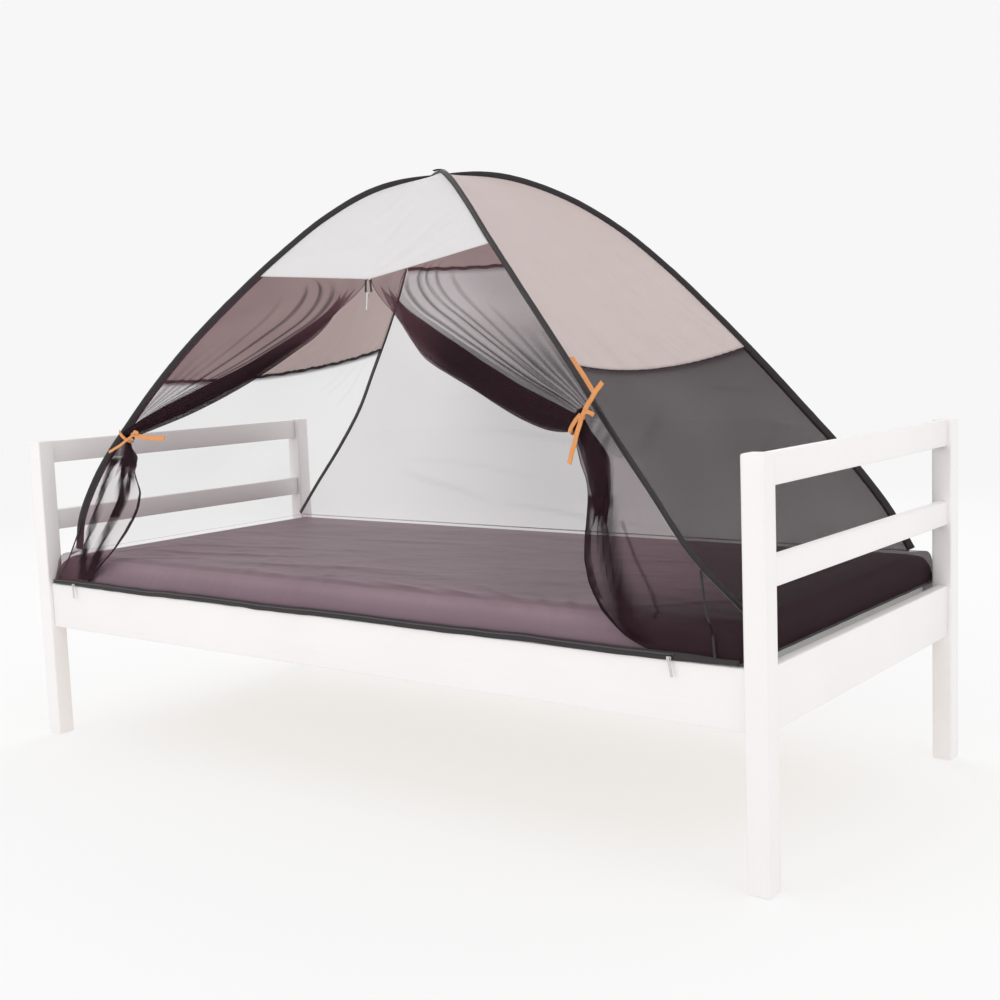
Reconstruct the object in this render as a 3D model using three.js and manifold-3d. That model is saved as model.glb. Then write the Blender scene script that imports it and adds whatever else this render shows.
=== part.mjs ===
import * as THREE from "three";
import { mergeVertices } from "three/addons/utils/BufferGeometryUtils.js";
import Module from "manifold-3d";

// All lengths in mm, +Z up, origin on the floor under the middle of the bed.

// bed
const bedLength = 2080;
const bedWidth = 965;
const postHeight = 772;
const postSize = 45;
const postRound = 4;
const railRecess = 9;
const railThick = 22;
const railTop = 401;
const railBottom = 287;
const headTopRail = { top: 770, bottom: 713 };
const headMidRail = { top: 590, bottom: 538 };
const fitGap = 0.4;
const baseThick = 15;
const baseTop = 317;

// mattress
const mattressHalfLength = 984;
const mattressHalfWidth = 440;
const mattressTop = 470;
const mattressCorner = 64;
const mattressEdge = 12;          // lower edge
const mattressShoulder = 40;      // soft upper edge

// tent frame: two crossing hoops of sprung wire in flat sewn channels
const apexZ = 1379;
const apexLean = -25;          // the crown stands a little nearer the left end
const leanFrom = 478;
const frontLegs = [
  { x: 962, y: 405, z: 485 }, { x: 884, y: 440, z: 582 }, { x: 800, y: 437, z: 696 },
  { x: 707, y: 414, z: 804 }, { x: 612, y: 381, z: 912 }, { x: 514, y: 341, z: 1013 },
  { x: 413, y: 292, z: 1109 }, { x: 312, y: 237, z: 1200 }, { x: 211, y: 172, z: 1285 },
  { x: 108, y: 95, z: 1349 },
];
const backLegs = [
  { x: 962, y: 400, z: 485 }, { x: 900, y: 421, z: 576 }, { x: 806, y: 432, z: 688 },
  { x: 707, y: 423, z: 800 }, { x: 613, y: 395, z: 915 }, { x: 516, y: 361, z: 1029 },
  { x: 419, y: 317, z: 1140 }, { x: 322, y: 255, z: 1241 }, { x: 219, y: 177, z: 1320 },
  { x: 111, y: 86, z: 1369 },
];
const ringsPerLeg = 24;        // rings of a sleeve from foot to crown
const endSeamRing = 10;        // ring where the end seams meet the sleeve
const sideSeamRing = 16;       // ring where the front and back seams meet it
// where the two seams meet each leg, in steps of its table
const seamSteps = {
  frontLeft: { end: 4.05, side: 6.55 }, frontRight: { end: 4.2, side: 6.85 },
  backLeft: { end: 4.55, side: 6.5 }, backRight: { end: 4.3, side: 6.5 },
};
const finHalf = 9.5;           // half depth of the sewn channel
const finThick = 3;            // half thickness of it
const crossHalf = 4;           // half depth where the channels cross
const crossLift = 4.4;

// cloth
const netThick = 1.0;
const roofThick = 1.0;
const floorThick = 1.2;
const seamGap = 0.5;
const edgeInset = 5;           // cloth edge under the channel's rim
const edgeAside = 3.7;         // and beside its middle plane
const faceColumns = 10;
const crownEnd = 23.5;
// skirt below the feet: how far out and how high each row lies
const skirtRows = [
  { endX: 976, sideY: 424, z: 478 },
  { endX: 986, sideY: 440, z: 475 },
  { endX: 990.5, sideY: 450.5, z: 461 },
  { endX: 991.2, sideY: 458, z: 434 },
  { endX: 991.6, sideY: 467.5, z: 408.2 },
];
const footRowZ = 479;          // the cloth passes under the feet at this height
const floorFallEnd = [
  { out: 930, z: 471 }, { out: 952, z: 471 }, { out: 969, z: 466 }, { out: 980, z: 456 },
  { out: 987, z: 438 }, { out: 990.1, z: 408.2 },
];
const floorFallSide = [
  { out: 384, z: 471 }, { out: 408, z: 471 }, { out: 427, z: 465.5 }, { out: 441, z: 455 },
  { out: 452, z: 438 }, { out: 466, z: 408.2 },
];
const pipingRadius = 2.3;
const pipingZ = 405.1;
const pipingSideY = 466;
// zip band: leans over the upper edge of the front rail
const band = { highY: 473.8, highZ: 416, lowY: 476.4, lowZ: 396, halfThick: 0.8 };

const V = (x, y, z) => new THREE.Vector3(x, y, z);
const mix = (a, b, t) => a + (b - a) * t;
const clamp01 = (t) => Math.min(1, Math.max(0, t));
const soft = (t) => { const c = clamp01(t); return c * c * (3 - 2 * c); };
const bell = (x, width) => Math.exp(-(x * x) / (width * width));
const arch = (u) => 4 * u * (1 - u);

// value of a table between its rows, column by column
function along(table, key, at, value) {
  const up = table[table.length - 1][at] > table[0][at];
  for (let i = 0; i < table.length - 1; i++) {
    const a = table[i], b = table[i + 1];
    const inside = up ? value <= b[at] : value >= b[at];
    if (inside || i === table.length - 2) {
      return mix(a[key], b[key], clamp01((value - a[at]) / (b[at] - a[at])));
    }
  }
  return table[0][key];
}

// meshes

const group = new THREE.Group();
group.name = "popup_net_tent";

function addMesh(name, geometry, color) {
  geometry.deleteAttribute("uv");
  const material = new THREE.MeshStandardMaterial({ color, roughness: 0.8 });
  material.name = name + "_material";
  geometry.computeVertexNormals();
  const mesh = new THREE.Mesh(geometry, material);
  mesh.name = name;
  group.add(mesh);
}

// closed geometry from points and triangles, turned to face outward
function closedGeometry(points, faces) {
  let volume = 0;
  for (const [a, b, c] of faces) volume += points[a].dot(V(0, 0, 0).crossVectors(points[b], points[c]));
  const index = [];
  for (const [a, b, c] of faces) index.push(...(volume > 0 ? [a, b, c] : [a, c, b]));
  const geometry = new THREE.BufferGeometry();
  const flat = new Float32Array(points.length * 3);
  points.forEach((p, i) => p.toArray(flat, i * 3));
  geometry.setAttribute("position", new THREE.BufferAttribute(flat, 3));
  geometry.setIndex(index);
  return geometry;
}

// a run of equal rings closed by flat ends
function loft(rings, endless = false) {
  const points = rings.flat();
  const n = rings[0].length, faces = [];
  const last = endless ? rings.length : rings.length - 1;
  for (let r = 0; r < last; r++) {
    const a0 = r * n, b0 = ((r + 1) % rings.length) * n;
    for (let i = 0; i < n; i++) {
      const j = (i + 1) % n;
      faces.push([a0 + i, a0 + j, b0 + j], [a0 + i, b0 + j, b0 + i]);
    }
  }
  if (!endless) {
    const end = (rings.length - 1) * n;
    for (let i = 1; i < n - 1; i++) {
      faces.push([0, i + 1, i], [end, end + i, end + i + 1]);
    }
  }
  return closedGeometry(points, faces);
}

// a thin sheet on a grid of middle points
function sheet(grid, thick) {
  const rows = grid.length, cols = grid[0].length;
  const at = (r, c) => grid[Math.min(rows - 1, Math.max(0, r))][Math.min(cols - 1, Math.max(0, c))];
  const top = [], under = [];
  for (let r = 0; r < rows; r++) {
    for (let c = 0; c < cols; c++) {
      const du = at(r, c + 1).clone().sub(at(r, c - 1));
      const dv = at(r + 1, c).clone().sub(at(r - 1, c));
      const normal = du.cross(dv).normalize();
      top.push(grid[r][c].clone().addScaledVector(normal, thick / 2));
      under.push(grid[r][c].clone().addScaledVector(normal, -thick / 2));
    }
  }
  const shift = top.length, points = top.concat(under), faces = [];
  const quad = (a, b, c, d) => faces.push([a, b, c], [a, c, d]);
  const id = (r, c) => r * cols + c;
  for (let r = 0; r < rows - 1; r++) {
    for (let c = 0; c < cols - 1; c++) {
      const a = id(r, c), b = id(r, c + 1), d = id(r + 1, c), e = id(r + 1, c + 1);
      quad(a, b, e, d);
      quad(a + shift, d + shift, e + shift, b + shift);
    }
  }
  for (let c = 0; c < cols - 1; c++) {
    const a = id(0, c), b = id(0, c + 1), d = id(rows - 1, c), e = id(rows - 1, c + 1);
    quad(a, a + shift, b + shift, b);
    quad(d, e, e + shift, d + shift);
  }
  for (let r = 0; r < rows - 1; r++) {
    const a = id(r, 0), b = id(r + 1, 0), d = id(r, cols - 1), e = id(r + 1, cols - 1);
    quad(a, b, b + shift, a + shift);
    quad(d, d + shift, e + shift, e);
  }
  return closedGeometry(points, faces);
}

// ring round a centre from two half axes and a squareness power
function ovalRing(center, axisA, axisB, halfA, halfB, count) {
  const ring = [];
  for (let i = 0; i < count; i++) {
    const angle = (i + 0.5) * 2 * Math.PI / count;
    const ca = Math.cos(angle), sa = Math.sin(angle);
    ring.push(center.clone()
      .addScaledVector(axisA, halfA * Math.sign(ca) * Math.sqrt(Math.abs(ca)))
      .addScaledVector(axisB, halfB * Math.sign(sa) * Math.sqrt(Math.abs(sa))));
  }
  return ring;
}

function roundedOutline(halfX, halfY, radius, z, steps) {
  const ring = [];
  const corners = [[1, 1, 0], [-1, 1, 1], [-1, -1, 2], [1, -1, 3]];
  for (const [sx, sy, quarter] of corners) {
    for (let i = 0; i <= steps; i++) {
      const angle = (quarter + i / steps) * Math.PI / 2;
      ring.push(V(sx * (halfX - radius) + radius * Math.cos(angle),
        sy * (halfY - radius) + radius * Math.sin(angle), z));
    }
  }
  return ring;
}

function block(x0, x1, y0, y1, z0, z1) {
  const geometry = new THREE.BoxGeometry(x1 - x0, y1 - y0, z1 - z0);
  geometry.translate((x0 + x1) / 2, (y0 + y1) / 2, (z0 + z1) / 2);
  geometry.deleteAttribute("uv");
  geometry.deleteAttribute("normal");
  return mergeVertices(geometry, 1e-4);
}

// bed

const white = 0xf2ecea;
const postX = bedLength / 2 - postSize / 2;
const postY = bedWidth / 2 - postSize / 2;
for (const [name, sx, sy] of [["post_front_left", -1, -1], ["post_front_right", 1, -1],
  ["post_back_left", -1, 1], ["post_back_right", 1, 1]]) {
  const rings = [
    { inset: 0, z: 0 }, { inset: 0, z: postHeight - postRound }, { inset: postRound, z: postHeight },
  ].map(({ inset, z }) => roundedOutline(postSize / 2 - inset, postSize / 2 - inset, postRound, z, 2)
    .map((p) => p.add(V(sx * postX, sy * postY, 0))));
  addMesh(name, loft(rings), white);
}
const innerX = bedLength / 2 - postSize - fitGap;
const innerY = bedWidth / 2 - postSize - fitGap;
const sideFace = bedWidth / 2 - railRecess;
const endFace = bedLength / 2 - railRecess;
for (const [name, sy] of [["side_rail_front", -1], ["side_rail_back", 1]]) {
  const ys = [sy * sideFace, sy * (sideFace - railThick)].sort((a, b) => a - b);
  addMesh(name, block(-innerX, innerX, ys[0], ys[1], railBottom, railTop), white);
}
for (const [side, sx] of [["left", -1], ["right", 1]]) {
  const xs = [sx * endFace, sx * (endFace - railThick - 3)].sort((a, b) => a - b);
  addMesh("end_board_" + side, block(xs[0], xs[1], -innerY, innerY, railBottom, railTop), white);
  addMesh("end_rail_mid_" + side, block(xs[0], xs[1], -innerY, innerY, headMidRail.bottom, headMidRail.top), white);
  addMesh("end_rail_top_" + side, block(xs[0], xs[1], -innerY, innerY, headTopRail.bottom, headTopRail.top), white);
}
const baseHalfY = sideFace - railThick - fitGap;
const baseHalfX = innerX - fitGap;
addMesh("bed_base", block(-baseHalfX, baseHalfX, -baseHalfY, baseHalfY, baseTop - baseThick, baseTop), 0xe9dfcf);

const mattressRings = [
  { inset: mattressEdge, z: baseTop + fitGap }, { inset: 0, z: baseTop + fitGap + mattressEdge },
  { inset: 0, z: mattressTop - mattressShoulder },
  { inset: mattressShoulder * 0.29, z: mattressTop - mattressShoulder * 0.29 },
  { inset: mattressShoulder, z: mattressTop },
].map(({ inset, z }) => roundedOutline(mattressHalfLength - inset, mattressHalfWidth - inset,
  mattressCorner - inset, z, 4));
addMesh("mattress", loft(mattressRings), 0xf0eeea);

// hoops

const leanAt = (z) => apexLean * (z - leanFrom) / (apexZ - leanFrom);
const legPoint = (row, sx, sy) => V(sx * row.x + leanAt(row.z), sy * row.y, row.z);
const crown = V(apexLean, 0, apexZ);
const hoops = {
  a: [...frontLegs.map((r) => legPoint(r, -1, -1)), crown,
    ...backLegs.map((r) => legPoint(r, 1, 1)).reverse()],
  b: [...frontLegs.map((r) => legPoint(r, 1, -1)), crown,
    ...backLegs.map((r) => legPoint(r, -1, 1)).reverse()],
};
const legs = {
  frontLeft: { hoop: "a", from: 0 }, backRight: { hoop: "a", from: 20 },
  frontRight: { hoop: "b", from: 0 }, backLeft: { hoop: "b", from: 20 },
};

function hoopPoint(key, step) {
  const table = hoops[key];
  const i = Math.min(table.length - 2, Math.max(0, Math.floor(step)));
  const t = step - i;
  const p1 = table[i], p2 = table[i + 1];
  const p0 = table[i - 1] || p1.clone().multiplyScalar(2).sub(p2);
  const p3 = table[i + 2] || p2.clone().multiplyScalar(2).sub(p1);
  const out = V(0, 0, 0);
  for (const axis of ["x", "y", "z"]) {
    const a = p0[axis], b = p1[axis], c = p2[axis], d = p3[axis];
    out[axis] = 0.5 * (2 * b + (c - a) * t + (2 * a - 5 * b + 4 * c - d) * t * t
      + (3 * b - a - 3 * c + d) * t * t * t);
  }
  const lift = crossLift * bell(step - 10, 0.9) * (key === "a" ? -1 : 1);
  return out.add(V(0, 0, lift));
}

function ringStep(leg, ring) {
  const { end, side } = seamSteps[leg];
  if (ring <= endSeamRing) return mix(0, end, ring / endSeamRing);
  if (ring <= sideSeamRing) return mix(end, side, (ring - endSeamRing) / (sideSeamRing - endSeamRing));
  return mix(side, 10, (ring - sideSeamRing) / (ringsPerLeg - sideSeamRing));
}

const insidePoint = V(0, 0, 560);
function legFrame(leg, ring) {
  const { hoop, from } = legs[leg];
  const step = from === 0 ? ringStep(leg, ring) : 20 - ringStep(leg, ring);
  const point = hoopPoint(hoop, step);
  const ahead = hoopPoint(hoop, Math.min(20, step + 0.05)), behind = hoopPoint(hoop, Math.max(0, step - 0.05));
  const tangent = ahead.sub(behind).normalize();
  const outward = point.clone().sub(insidePoint);
  outward.addScaledVector(tangent, -outward.dot(tangent)).normalize();
  const aside = V(0, 0, 0).crossVectors(tangent, outward);
  return { point, tangent, outward, aside, half: mix(finHalf, crossHalf, bell(step - 10, 0.55)) };
}

for (const [key, first, second] of [["a", "frontLeft", "backRight"], ["b", "frontRight", "backLeft"]]) {
  const rings = [];
  const ringOf = (leg, k) => {
    const f = legFrame(leg, k);
    return ovalRing(f.point, f.outward, f.aside, f.half, finThick, 8);
  };
  for (let k = 0; k <= ringsPerLeg; k++) rings.push(ringOf(first, k));
  for (let k = ringsPerLeg - 1; k >= 0; k--) rings.push(ringOf(second, k));
  addMesh("hoop_sleeve_" + key, loft(rings), 0x2d2a2c);
}

// faces between the hoops

const faces = {
  front: { left: "frontLeft", right: "frontRight", inward: V(0, 1, 0), seam: sideSeamRing, sag: 5, drop: 40 },
  back: { left: "backRight", right: "backLeft", inward: V(0, -1, 0), seam: sideSeamRing, sag: 18, drop: 14 },
  left: { left: "backLeft", right: "frontLeft", inward: V(1, 0, 0), seam: endSeamRing, sag: 26, drop: 22 },
  right: { left: "frontRight", right: "backRight", inward: V(-1, 0, 0), seam: endSeamRing, sag: 26, drop: 30 },
};

// the edge of a face's cloth beside a channel, between whole rings
function edgePoint(leg, ring, toward) {
  const low = Math.floor(ring), high = Math.ceil(ring);
  const spot = (k) => {
    const f = legFrame(leg, k);
    const sign = f.aside.dot(toward) > 0 ? 1 : -1;
    const inset = edgeInset * f.half / finHalf;
    return f.point.addScaledVector(f.outward, -inset).addScaledVector(f.aside, sign * edgeAside);
  };
  return low === high ? spot(low) : spot(low).lerp(spot(high), ring - low);
}

function facePoint(name, ring, u) {
  const face = faces[name];
  const middle = face.inward.clone().negate();
  const across = name === "front" || name === "back" ? V(1, 0, 0) : V(0, 1, 0);
  const towardRight = across.multiplyScalar(Math.sign(
    legFrame(face.right, 8).point.clone().sub(legFrame(face.left, 8).point).dot(across)));
  const a = edgePoint(face.left, ring, towardRight.clone());
  const b = edgePoint(face.right, ring, towardRight.clone().negate());
  const p = a.lerp(b, u);
  const height = ring / ringsPerLeg;
  const slack = face.sag * Math.sin(Math.PI * clamp01(height)) ** 0.8;
  p.addScaledVector(middle, -slack * arch(u));
  const peak = name === "front" ? 1 - Math.abs(2 * u - 1) : arch(u);
  const reach = ring > face.seam ? 4.5 : 3.5;
  p.z -= face.drop * peak * bell(ring - face.seam, reach) * soft((ringsPerLeg - ring) / 5) * soft((ring + 1) / 4);
  return p;
}

// broad soft creases, as out-of-plane waves fading at the seams
function creased(name, p, ring, u, amount) {
  const fade = Math.min(1, arch(u) * 2.2);
  const wave = Math.sin(u * 9.4 + ring * 0.35) * 0.6 + Math.sin(u * 5.1 - ring * 0.6 + 1.3) * 0.4;
  return p.addScaledVector(faces[name].inward, amount * fade * wave);
}

function skirtPoint(name, row, u) {
  const s = skirtRows[row];
  const isEnd = name === "left" || name === "right";
  const out = isEnd ? s.endX : s.sideY;
  const reach = (isEnd ? s.sideY : s.endX) - 1.3;
  const swing = mix(-reach, reach, u);
  if (name === "right") return V(out, swing, s.z);
  if (name === "left") return V(-out, -swing, s.z);
  if (name === "front") return V(swing, -out, s.z);
  return V(-swing, out, s.z);
}

const columns = (count) => Array.from({ length: count + 1 }, (_, i) => i / count);

function roofGrid(name) {
  const grid = [];
  const rows = [];
  for (let k = faces[name].seam; k < crownEnd; k += 1) rows.push(k);
  rows.push(crownEnd);
  for (const k of rows) {
    grid.push(columns(faceColumns).map((u) => creased(name, facePoint(name, k, u), k, u,
      2.5 * soft((crownEnd - k) / 4) * soft((k - faces[name].seam) / 2))));
  }
  return grid;
}

function netGrid(name) {
  const grid = [];
  const seam = faces[name].seam;
  for (let k = seam; k >= 0; k--) {
    grid.push(columns(faceColumns).map((u) => creased(name, facePoint(name, k, u), k, u,
      4 * soft((seam - k) / 3) * soft(k / 3))));
  }
  // the top edge stops just short of the panel above
  grid[0] = grid[0].map((p, i) => p.clone().addScaledVector(grid[1][i].clone().sub(p).normalize(), seamGap));
  grid.push(columns(faceColumns).map((u) => facePoint(name, 0, u).setZ(footRowZ)));
  for (let row = 0; row < skirtRows.length; row++) {
    grid.push(columns(faceColumns).map((u) => skirtPoint(name, row, u)));
  }
  return grid;
}

const roofColors = { front: 0xeeeeee, back: 0xcabcb0, left: 0xcabcb0, right: 0xcabcb0 };
for (const name of ["front", "back", "left", "right"]) {
  addMesh("roof_" + name, sheet(roofGrid(name), roofThick), roofColors[name]);
}
for (const name of ["back", "left", "right"]) {
  addMesh("net_" + name, sheet(netGrid(name), netThick), 0x6a5f66);
}

// door leaves

// run: distance from the zip along the door; low: free edge; high: top of the gathered roll
const leaves = {
  left: {
    leg: "frontLeft", side: -1, tieRing: 7, bunch: { x: -694, y: -432, z: 786, half: 14, wideX: 0.8, wideZ: -0.6 },
    roll: [
      { part: 0, x: -37, y: -263, low: 1121, high: 1126 }, { part: 0.12, x: -60, y: -268, low: 1068, high: 1100 },
      { part: 0.3, x: -175, y: -295, low: 1000, high: 1036 }, { part: 0.5, x: -340, y: -332, low: 911, high: 956 },
      { part: 0.72, x: -500, y: -370, low: 842, high: 893 }, { part: 0.9, x: -635, y: -405, low: 797, high: 838 },
      { part: 1, x: -690, y: -426, low: 787, high: 797 },
    ],
    // core: where the thick folds begin; edge: the free side
    fall: [
      { z: 786, core: -716, edge: -684, y: -430 }, { z: 748, core: -722, edge: -640, y: -434 },
      { z: 696, core: -760, edge: -656, y: -440 }, { z: 655, core: -790, edge: -642, y: -444 },
      { z: 602, core: -830, edge: -658, y: -448 }, { z: 543, core: -868, edge: -708, y: -454 },
      { z: 496, core: -905, edge: -768, y: -462 }, { z: 450, core: -935, edge: -820, y: -468 },
      { z: 408.2, core: -950, edge: -868, y: -470 },
    ],
  },
  right: {
    leg: "frontRight", side: 1, tieRing: 8, bunch: { x: 642, y: -436, z: 820, half: 17, wideX: -0.62, wideZ: -0.78 },
    roll: [
      { part: 0, x: -27, y: -263, low: 1121, high: 1126 }, { part: 0.12, x: 15, y: -274, low: 1052, high: 1100 },
      { part: 0.3, x: 165, y: -308, low: 950, high: 1040 }, { part: 0.5, x: 320, y: -346, low: 885, high: 968 },
      { part: 0.72, x: 475, y: -382, low: 822, high: 898 }, { part: 0.9, x: 595, y: -414, low: 797, high: 856 },
      { part: 1, x: 645, y: -430, low: 816, high: 838 },
    ],
    fall: [
      { z: 828, core: 672, edge: 640, y: -434 }, { z: 770, core: 722, edge: 650, y: -438 },
      { z: 700, core: 716, edge: 668, y: -443 }, { z: 627, core: 722, edge: 665, y: -448 },
      { z: 586, core: 724, edge: 655, y: -452 }, { z: 541, core: 728, edge: 662, y: -456 },
      { z: 497, core: 738, edge: 680, y: -461 }, { z: 450, core: 775, edge: 716, y: -467 },
      { z: 408.2, core: 880, edge: 800, y: -470 },
    ],
  },
};
const webColumns = 4;
const pleatColumns = 12;
const pleats = 3;

function leafGrid(name) {
  const leaf = leaves[name];
  const grid = [];
  const seamU = (u) => (leaf.side < 0 ? u / 2 : 1 - u / 2);     // u 0 at the pole, 1 at the zip
  const door = faces.front;
  const toward = V(-leaf.side, 0, 0);
  const upperRows = door.seam - leaf.tieRing;
  const pleatWave = (c) => Math.sin(2 * Math.PI * pleats * (c - webColumns) / pleatColumns);
  for (let row = 0; row <= upperRows; row++) {
    const ring = door.seam - row;
    const part = row / upperRows;
    const pole = edgePoint(leaf.leg, ring, toward);
    const zipGap = 0.014;
    const seamPoint = (u) => facePoint("front", door.seam, seamU(u * (1 - zipGap)));
    const path = (key) => along(leaf.roll, key, "part", part);
    const x = path("x"), y = path("y");
    const settle = soft(part * 3.2);
    const depth = mix(2, 13, soft(part * 2.5)) * mix(1, 0.75, soft((part - 0.8) * 5));
    const line = [];
    for (let c = 0; c <= webColumns + pleatColumns; c++) {
      const inRoll = (c - webColumns) / pleatColumns;
      let p;
      if (c <= webColumns) {
        const high = seamPoint(0.6).lerp(V(x, y, path("high")), settle)
          .lerp(bunchPoint(leaf, 0, 0), soft((part - 0.8) / 0.2));
        p = pole.clone().lerp(high, c / webColumns);
        const free = seamPoint(0.6 * c / webColumns);
        p.lerp(free, 1 - soft(part * 9));
      } else {
        const rest = V(x, y, mix(path("high"), path("low"), inRoll));
        p = seamPoint(mix(0.6, 1, inRoll)).lerp(rest, settle);
        p.y -= depth * (1 + pleatWave(c)) * 0.5 * soft(part * 4);
        if (part > 0.8) p.lerp(bunchPoint(leaf, inRoll, pleatWave(c)), soft((part - 0.8) / 0.2));
      }
      if (row === 0) p.z -= 2 * seamGap;
      line.push(p);
    }
    grid.push(line);
  }
  // below the tie
  const lastFall = leaf.fall[leaf.fall.length - 1].z;
  const lowerRows = leaf.tieRing + 1 + skirtRows.length;
  for (let row = 1; row <= lowerRows; row++) {
    const ring = leaf.tieRing - row;
    const skirt = row - leaf.tieRing - 2;
    let pole = ring >= 0 ? edgePoint(leaf.leg, ring, toward) : edgePoint(leaf.leg, 0, toward).setZ(footRowZ);
    if (skirt >= 0) pole = skirtPoint("front", skirt, leaf.side < 0 ? 0 : 1);
    const z = pole.z;
    const at = (key) => along(leaf.fall, key, "z", z);
    const spread = soft(row / 4);
    const height = clamp01((z - lastFall) / 120);
    const line = [];
    for (let c = 0; c <= webColumns + pleatColumns; c++) {
      const inCore = (c - webColumns) / pleatColumns;
      let p;
      if (c <= webColumns) {
        p = pole.clone().lerp(V(at("core"), at("y"), z), c / webColumns);
        if (c > 0) p.y -= 3 * Math.sin(Math.PI * c / webColumns) * height;
      } else {
        p = V(mix(at("core"), at("edge"), inCore), at("y"), z);
        const bow = mix(1.5, 15, height) * mix(0.75, 1, spread);
        p.y -= bow * (1 + pleatWave(c)) * 0.5;
        p.lerp(bunchPoint(leaf, inCore, pleatWave(c)).add(V(0, 0, z - leaf.bunch.z)), 1 - soft(row / 2));
      }
      line.push(p);
    }
    grid.push(line);
  }
  return grid;
}

function bunchPoint(leaf, part, wave) {
  const { x, y, z, half, wideX, wideZ } = leaf.bunch;
  const swing = mix(-half, half, part);
  return V(x + swing * wideX, y - 7 * (1 + wave) * 0.5, z + swing * wideZ);
}

for (const name of ["left", "right"]) {
  addMesh("door_leaf_" + name, sheet(leafGrid(name), netThick), 0x3b3438);
}

// floor cloth

function fallRun(table, count) {
  const run = table.map((r) => ({ out: r.out, z: r.z })).reverse().map((r) => ({ out: -r.out, z: r.z }));
  const inner = table[0].out;
  for (let i = 1; i < count; i++) run.push({ out: mix(-inner, inner, i / count), z: table[0].z });
  return run.concat(table.map((r) => ({ out: r.out, z: r.z })));
}

const floorLift = 3.2;
const floorGrid = fallRun(floorFallSide, 8).map((sideRow) =>
  fallRun(floorFallEnd, 16).map((endRow) => {
    const x = endRow.out, y = sideRow.out;
    let z = Math.min(endRow.z, sideRow.z);
    if (z > floorFallEnd[0].z - 0.5) {
      const fade = soft((930 - Math.abs(x)) / 150) * soft((390 - Math.abs(y)) / 90);
      const wave = Math.sin(x * 0.0105 + y * 0.006) + Math.sin(y * 0.017 - x * 0.004 + 1);
      z += floorLift * fade * (0.5 + wave * 0.25);
    }
    return V(x, y, z);
  }));
addMesh("floor_cloth", sheet(floorGrid, floorThick), 0x8b7c84);

// hem piping, zip and its sliders

const hemX = 990;
const pipingPath = [];
const hemRound = 16;
const hemRun = (x0, y0, x1, y1, n) => {
  for (let i = 0; i < n; i++) pipingPath.push(V(mix(x0, x1, i / n), mix(y0, y1, i / n), pipingZ));
};
const bandEnd = 984;
hemRun(-hemX, -pipingSideY + 6, -hemX, pipingSideY - hemRound, 10);
hemRun(-hemX, pipingSideY - hemRound, -hemX + hemRound, pipingSideY, 2);
hemRun(-hemX + hemRound, pipingSideY, hemX - hemRound, pipingSideY, 16);
hemRun(hemX - hemRound, pipingSideY, hemX, pipingSideY - hemRound, 2);
hemRun(hemX, pipingSideY - hemRound, hemX, -pipingSideY + 6, 10);
pipingPath.push(V(hemX, -pipingSideY + 6, pipingZ));
const pipingRings = pipingPath.map((p, i) => {
  const a = pipingPath[Math.max(0, i - 1)], b = pipingPath[Math.min(pipingPath.length - 1, i + 1)];
  const tangent = b.clone().sub(a).normalize();
  const side = V(-tangent.y, tangent.x, 0);
  return ovalRing(p, side, V(0, 0, 1), pipingRadius, pipingRadius, 6);
});
addMesh("hem_piping", loft(pipingRings), 0x1f1d1f);

const bandRings = columns(48).map((t) => {
  const x = mix(-bandEnd, bandEnd, t);
  const sway = 1.6 * Math.sin(t * 23) + 0.8 * Math.sin(t * 57);
  return [V(x, -band.lowY - band.halfThick, band.lowZ + sway), V(x, -band.lowY + band.halfThick, band.lowZ + sway),
    V(x, -band.highY + band.halfThick, band.highZ + sway), V(x, -band.highY - band.halfThick, band.highZ + sway)];
});
addMesh("door_zip_band", loft(bandRings), 0x242224);

const wasm = await Module();
wasm.setup();
function toSolid(geometry) {
  const clean = geometry.clone();
  for (const key of Object.keys(clean.attributes)) if (key !== "position") clean.deleteAttribute(key);
  const merged = mergeVertices(clean, 1e-4);
  return new wasm.Manifold(new wasm.Mesh({
    numProp: 3,
    vertProperties: new Float32Array(merged.attributes.position.array),
    triVerts: new Uint32Array(merged.index.array),
  }));
}
function joined(geometries) {
  const mesh = geometries.map(toSolid).reduce((a, b) => a.add(b)).getMesh();
  const geometry = new THREE.BufferGeometry();
  geometry.setAttribute("position", new THREE.BufferAttribute(new Float32Array(mesh.vertProperties), 3));
  geometry.setIndex(Array.from(mesh.triVerts));
  return geometry;
}

// a slider body with its hanging pull
function slider(center, pullDown, pullLean) {
  const body = block(center.x - 5, center.x + 5, center.y - 3.6, center.y + 0.6, center.z - 3.1, center.z + 3.1);
  const pull = [0, 0.15, 0.85, 1].map((t) => {
    const half = t === 0 || t === 1 ? 1.6 : 2.4;
    const p = V(center.x + pullLean * t, center.y - 4.2, center.z + 2.5 - pullDown * t);
    return ovalRing(p, V(1, 0, 0), V(0, 1, 0), half, 0.8, 8);
  });
  return joined([body, loft(pull)]);
}
const sliderY = -band.lowY - 1.35;
addMesh("zip_slider_left", slider(V(-893, sliderY, 404.6), 38, 3), 0xb9b6b8);
addMesh("zip_slider_right", slider(V(848, sliderY, 404.6), 38, 7), 0xb9b6b8);

const zipTop = facePoint("front", sideSeamRing, 0.5);
addMesh("zip_slider_top", slider(zipTop.clone().add(V(0, -4.6, -32.7)), 44, -4), 0x3a3638);
for (const [name, sx, ahead] of [["top_zip_tape_left", -1, 6], ["top_zip_tape_right", 1, 3.5]]) {
  const grid = columns(3).map((t) => {
    const center = zipTop.clone().add(V(sx * mix(5.5, 7.4, t), -ahead, mix(-2, -29, t)));
    return [center.clone().add(V(-2, 0, 0)), center.clone().add(V(2, 0, 0))];
  });
  addMesh(name, sheet(grid, 1), 0x2d2a2c);
}

// ties, tab and crown wrap

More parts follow.
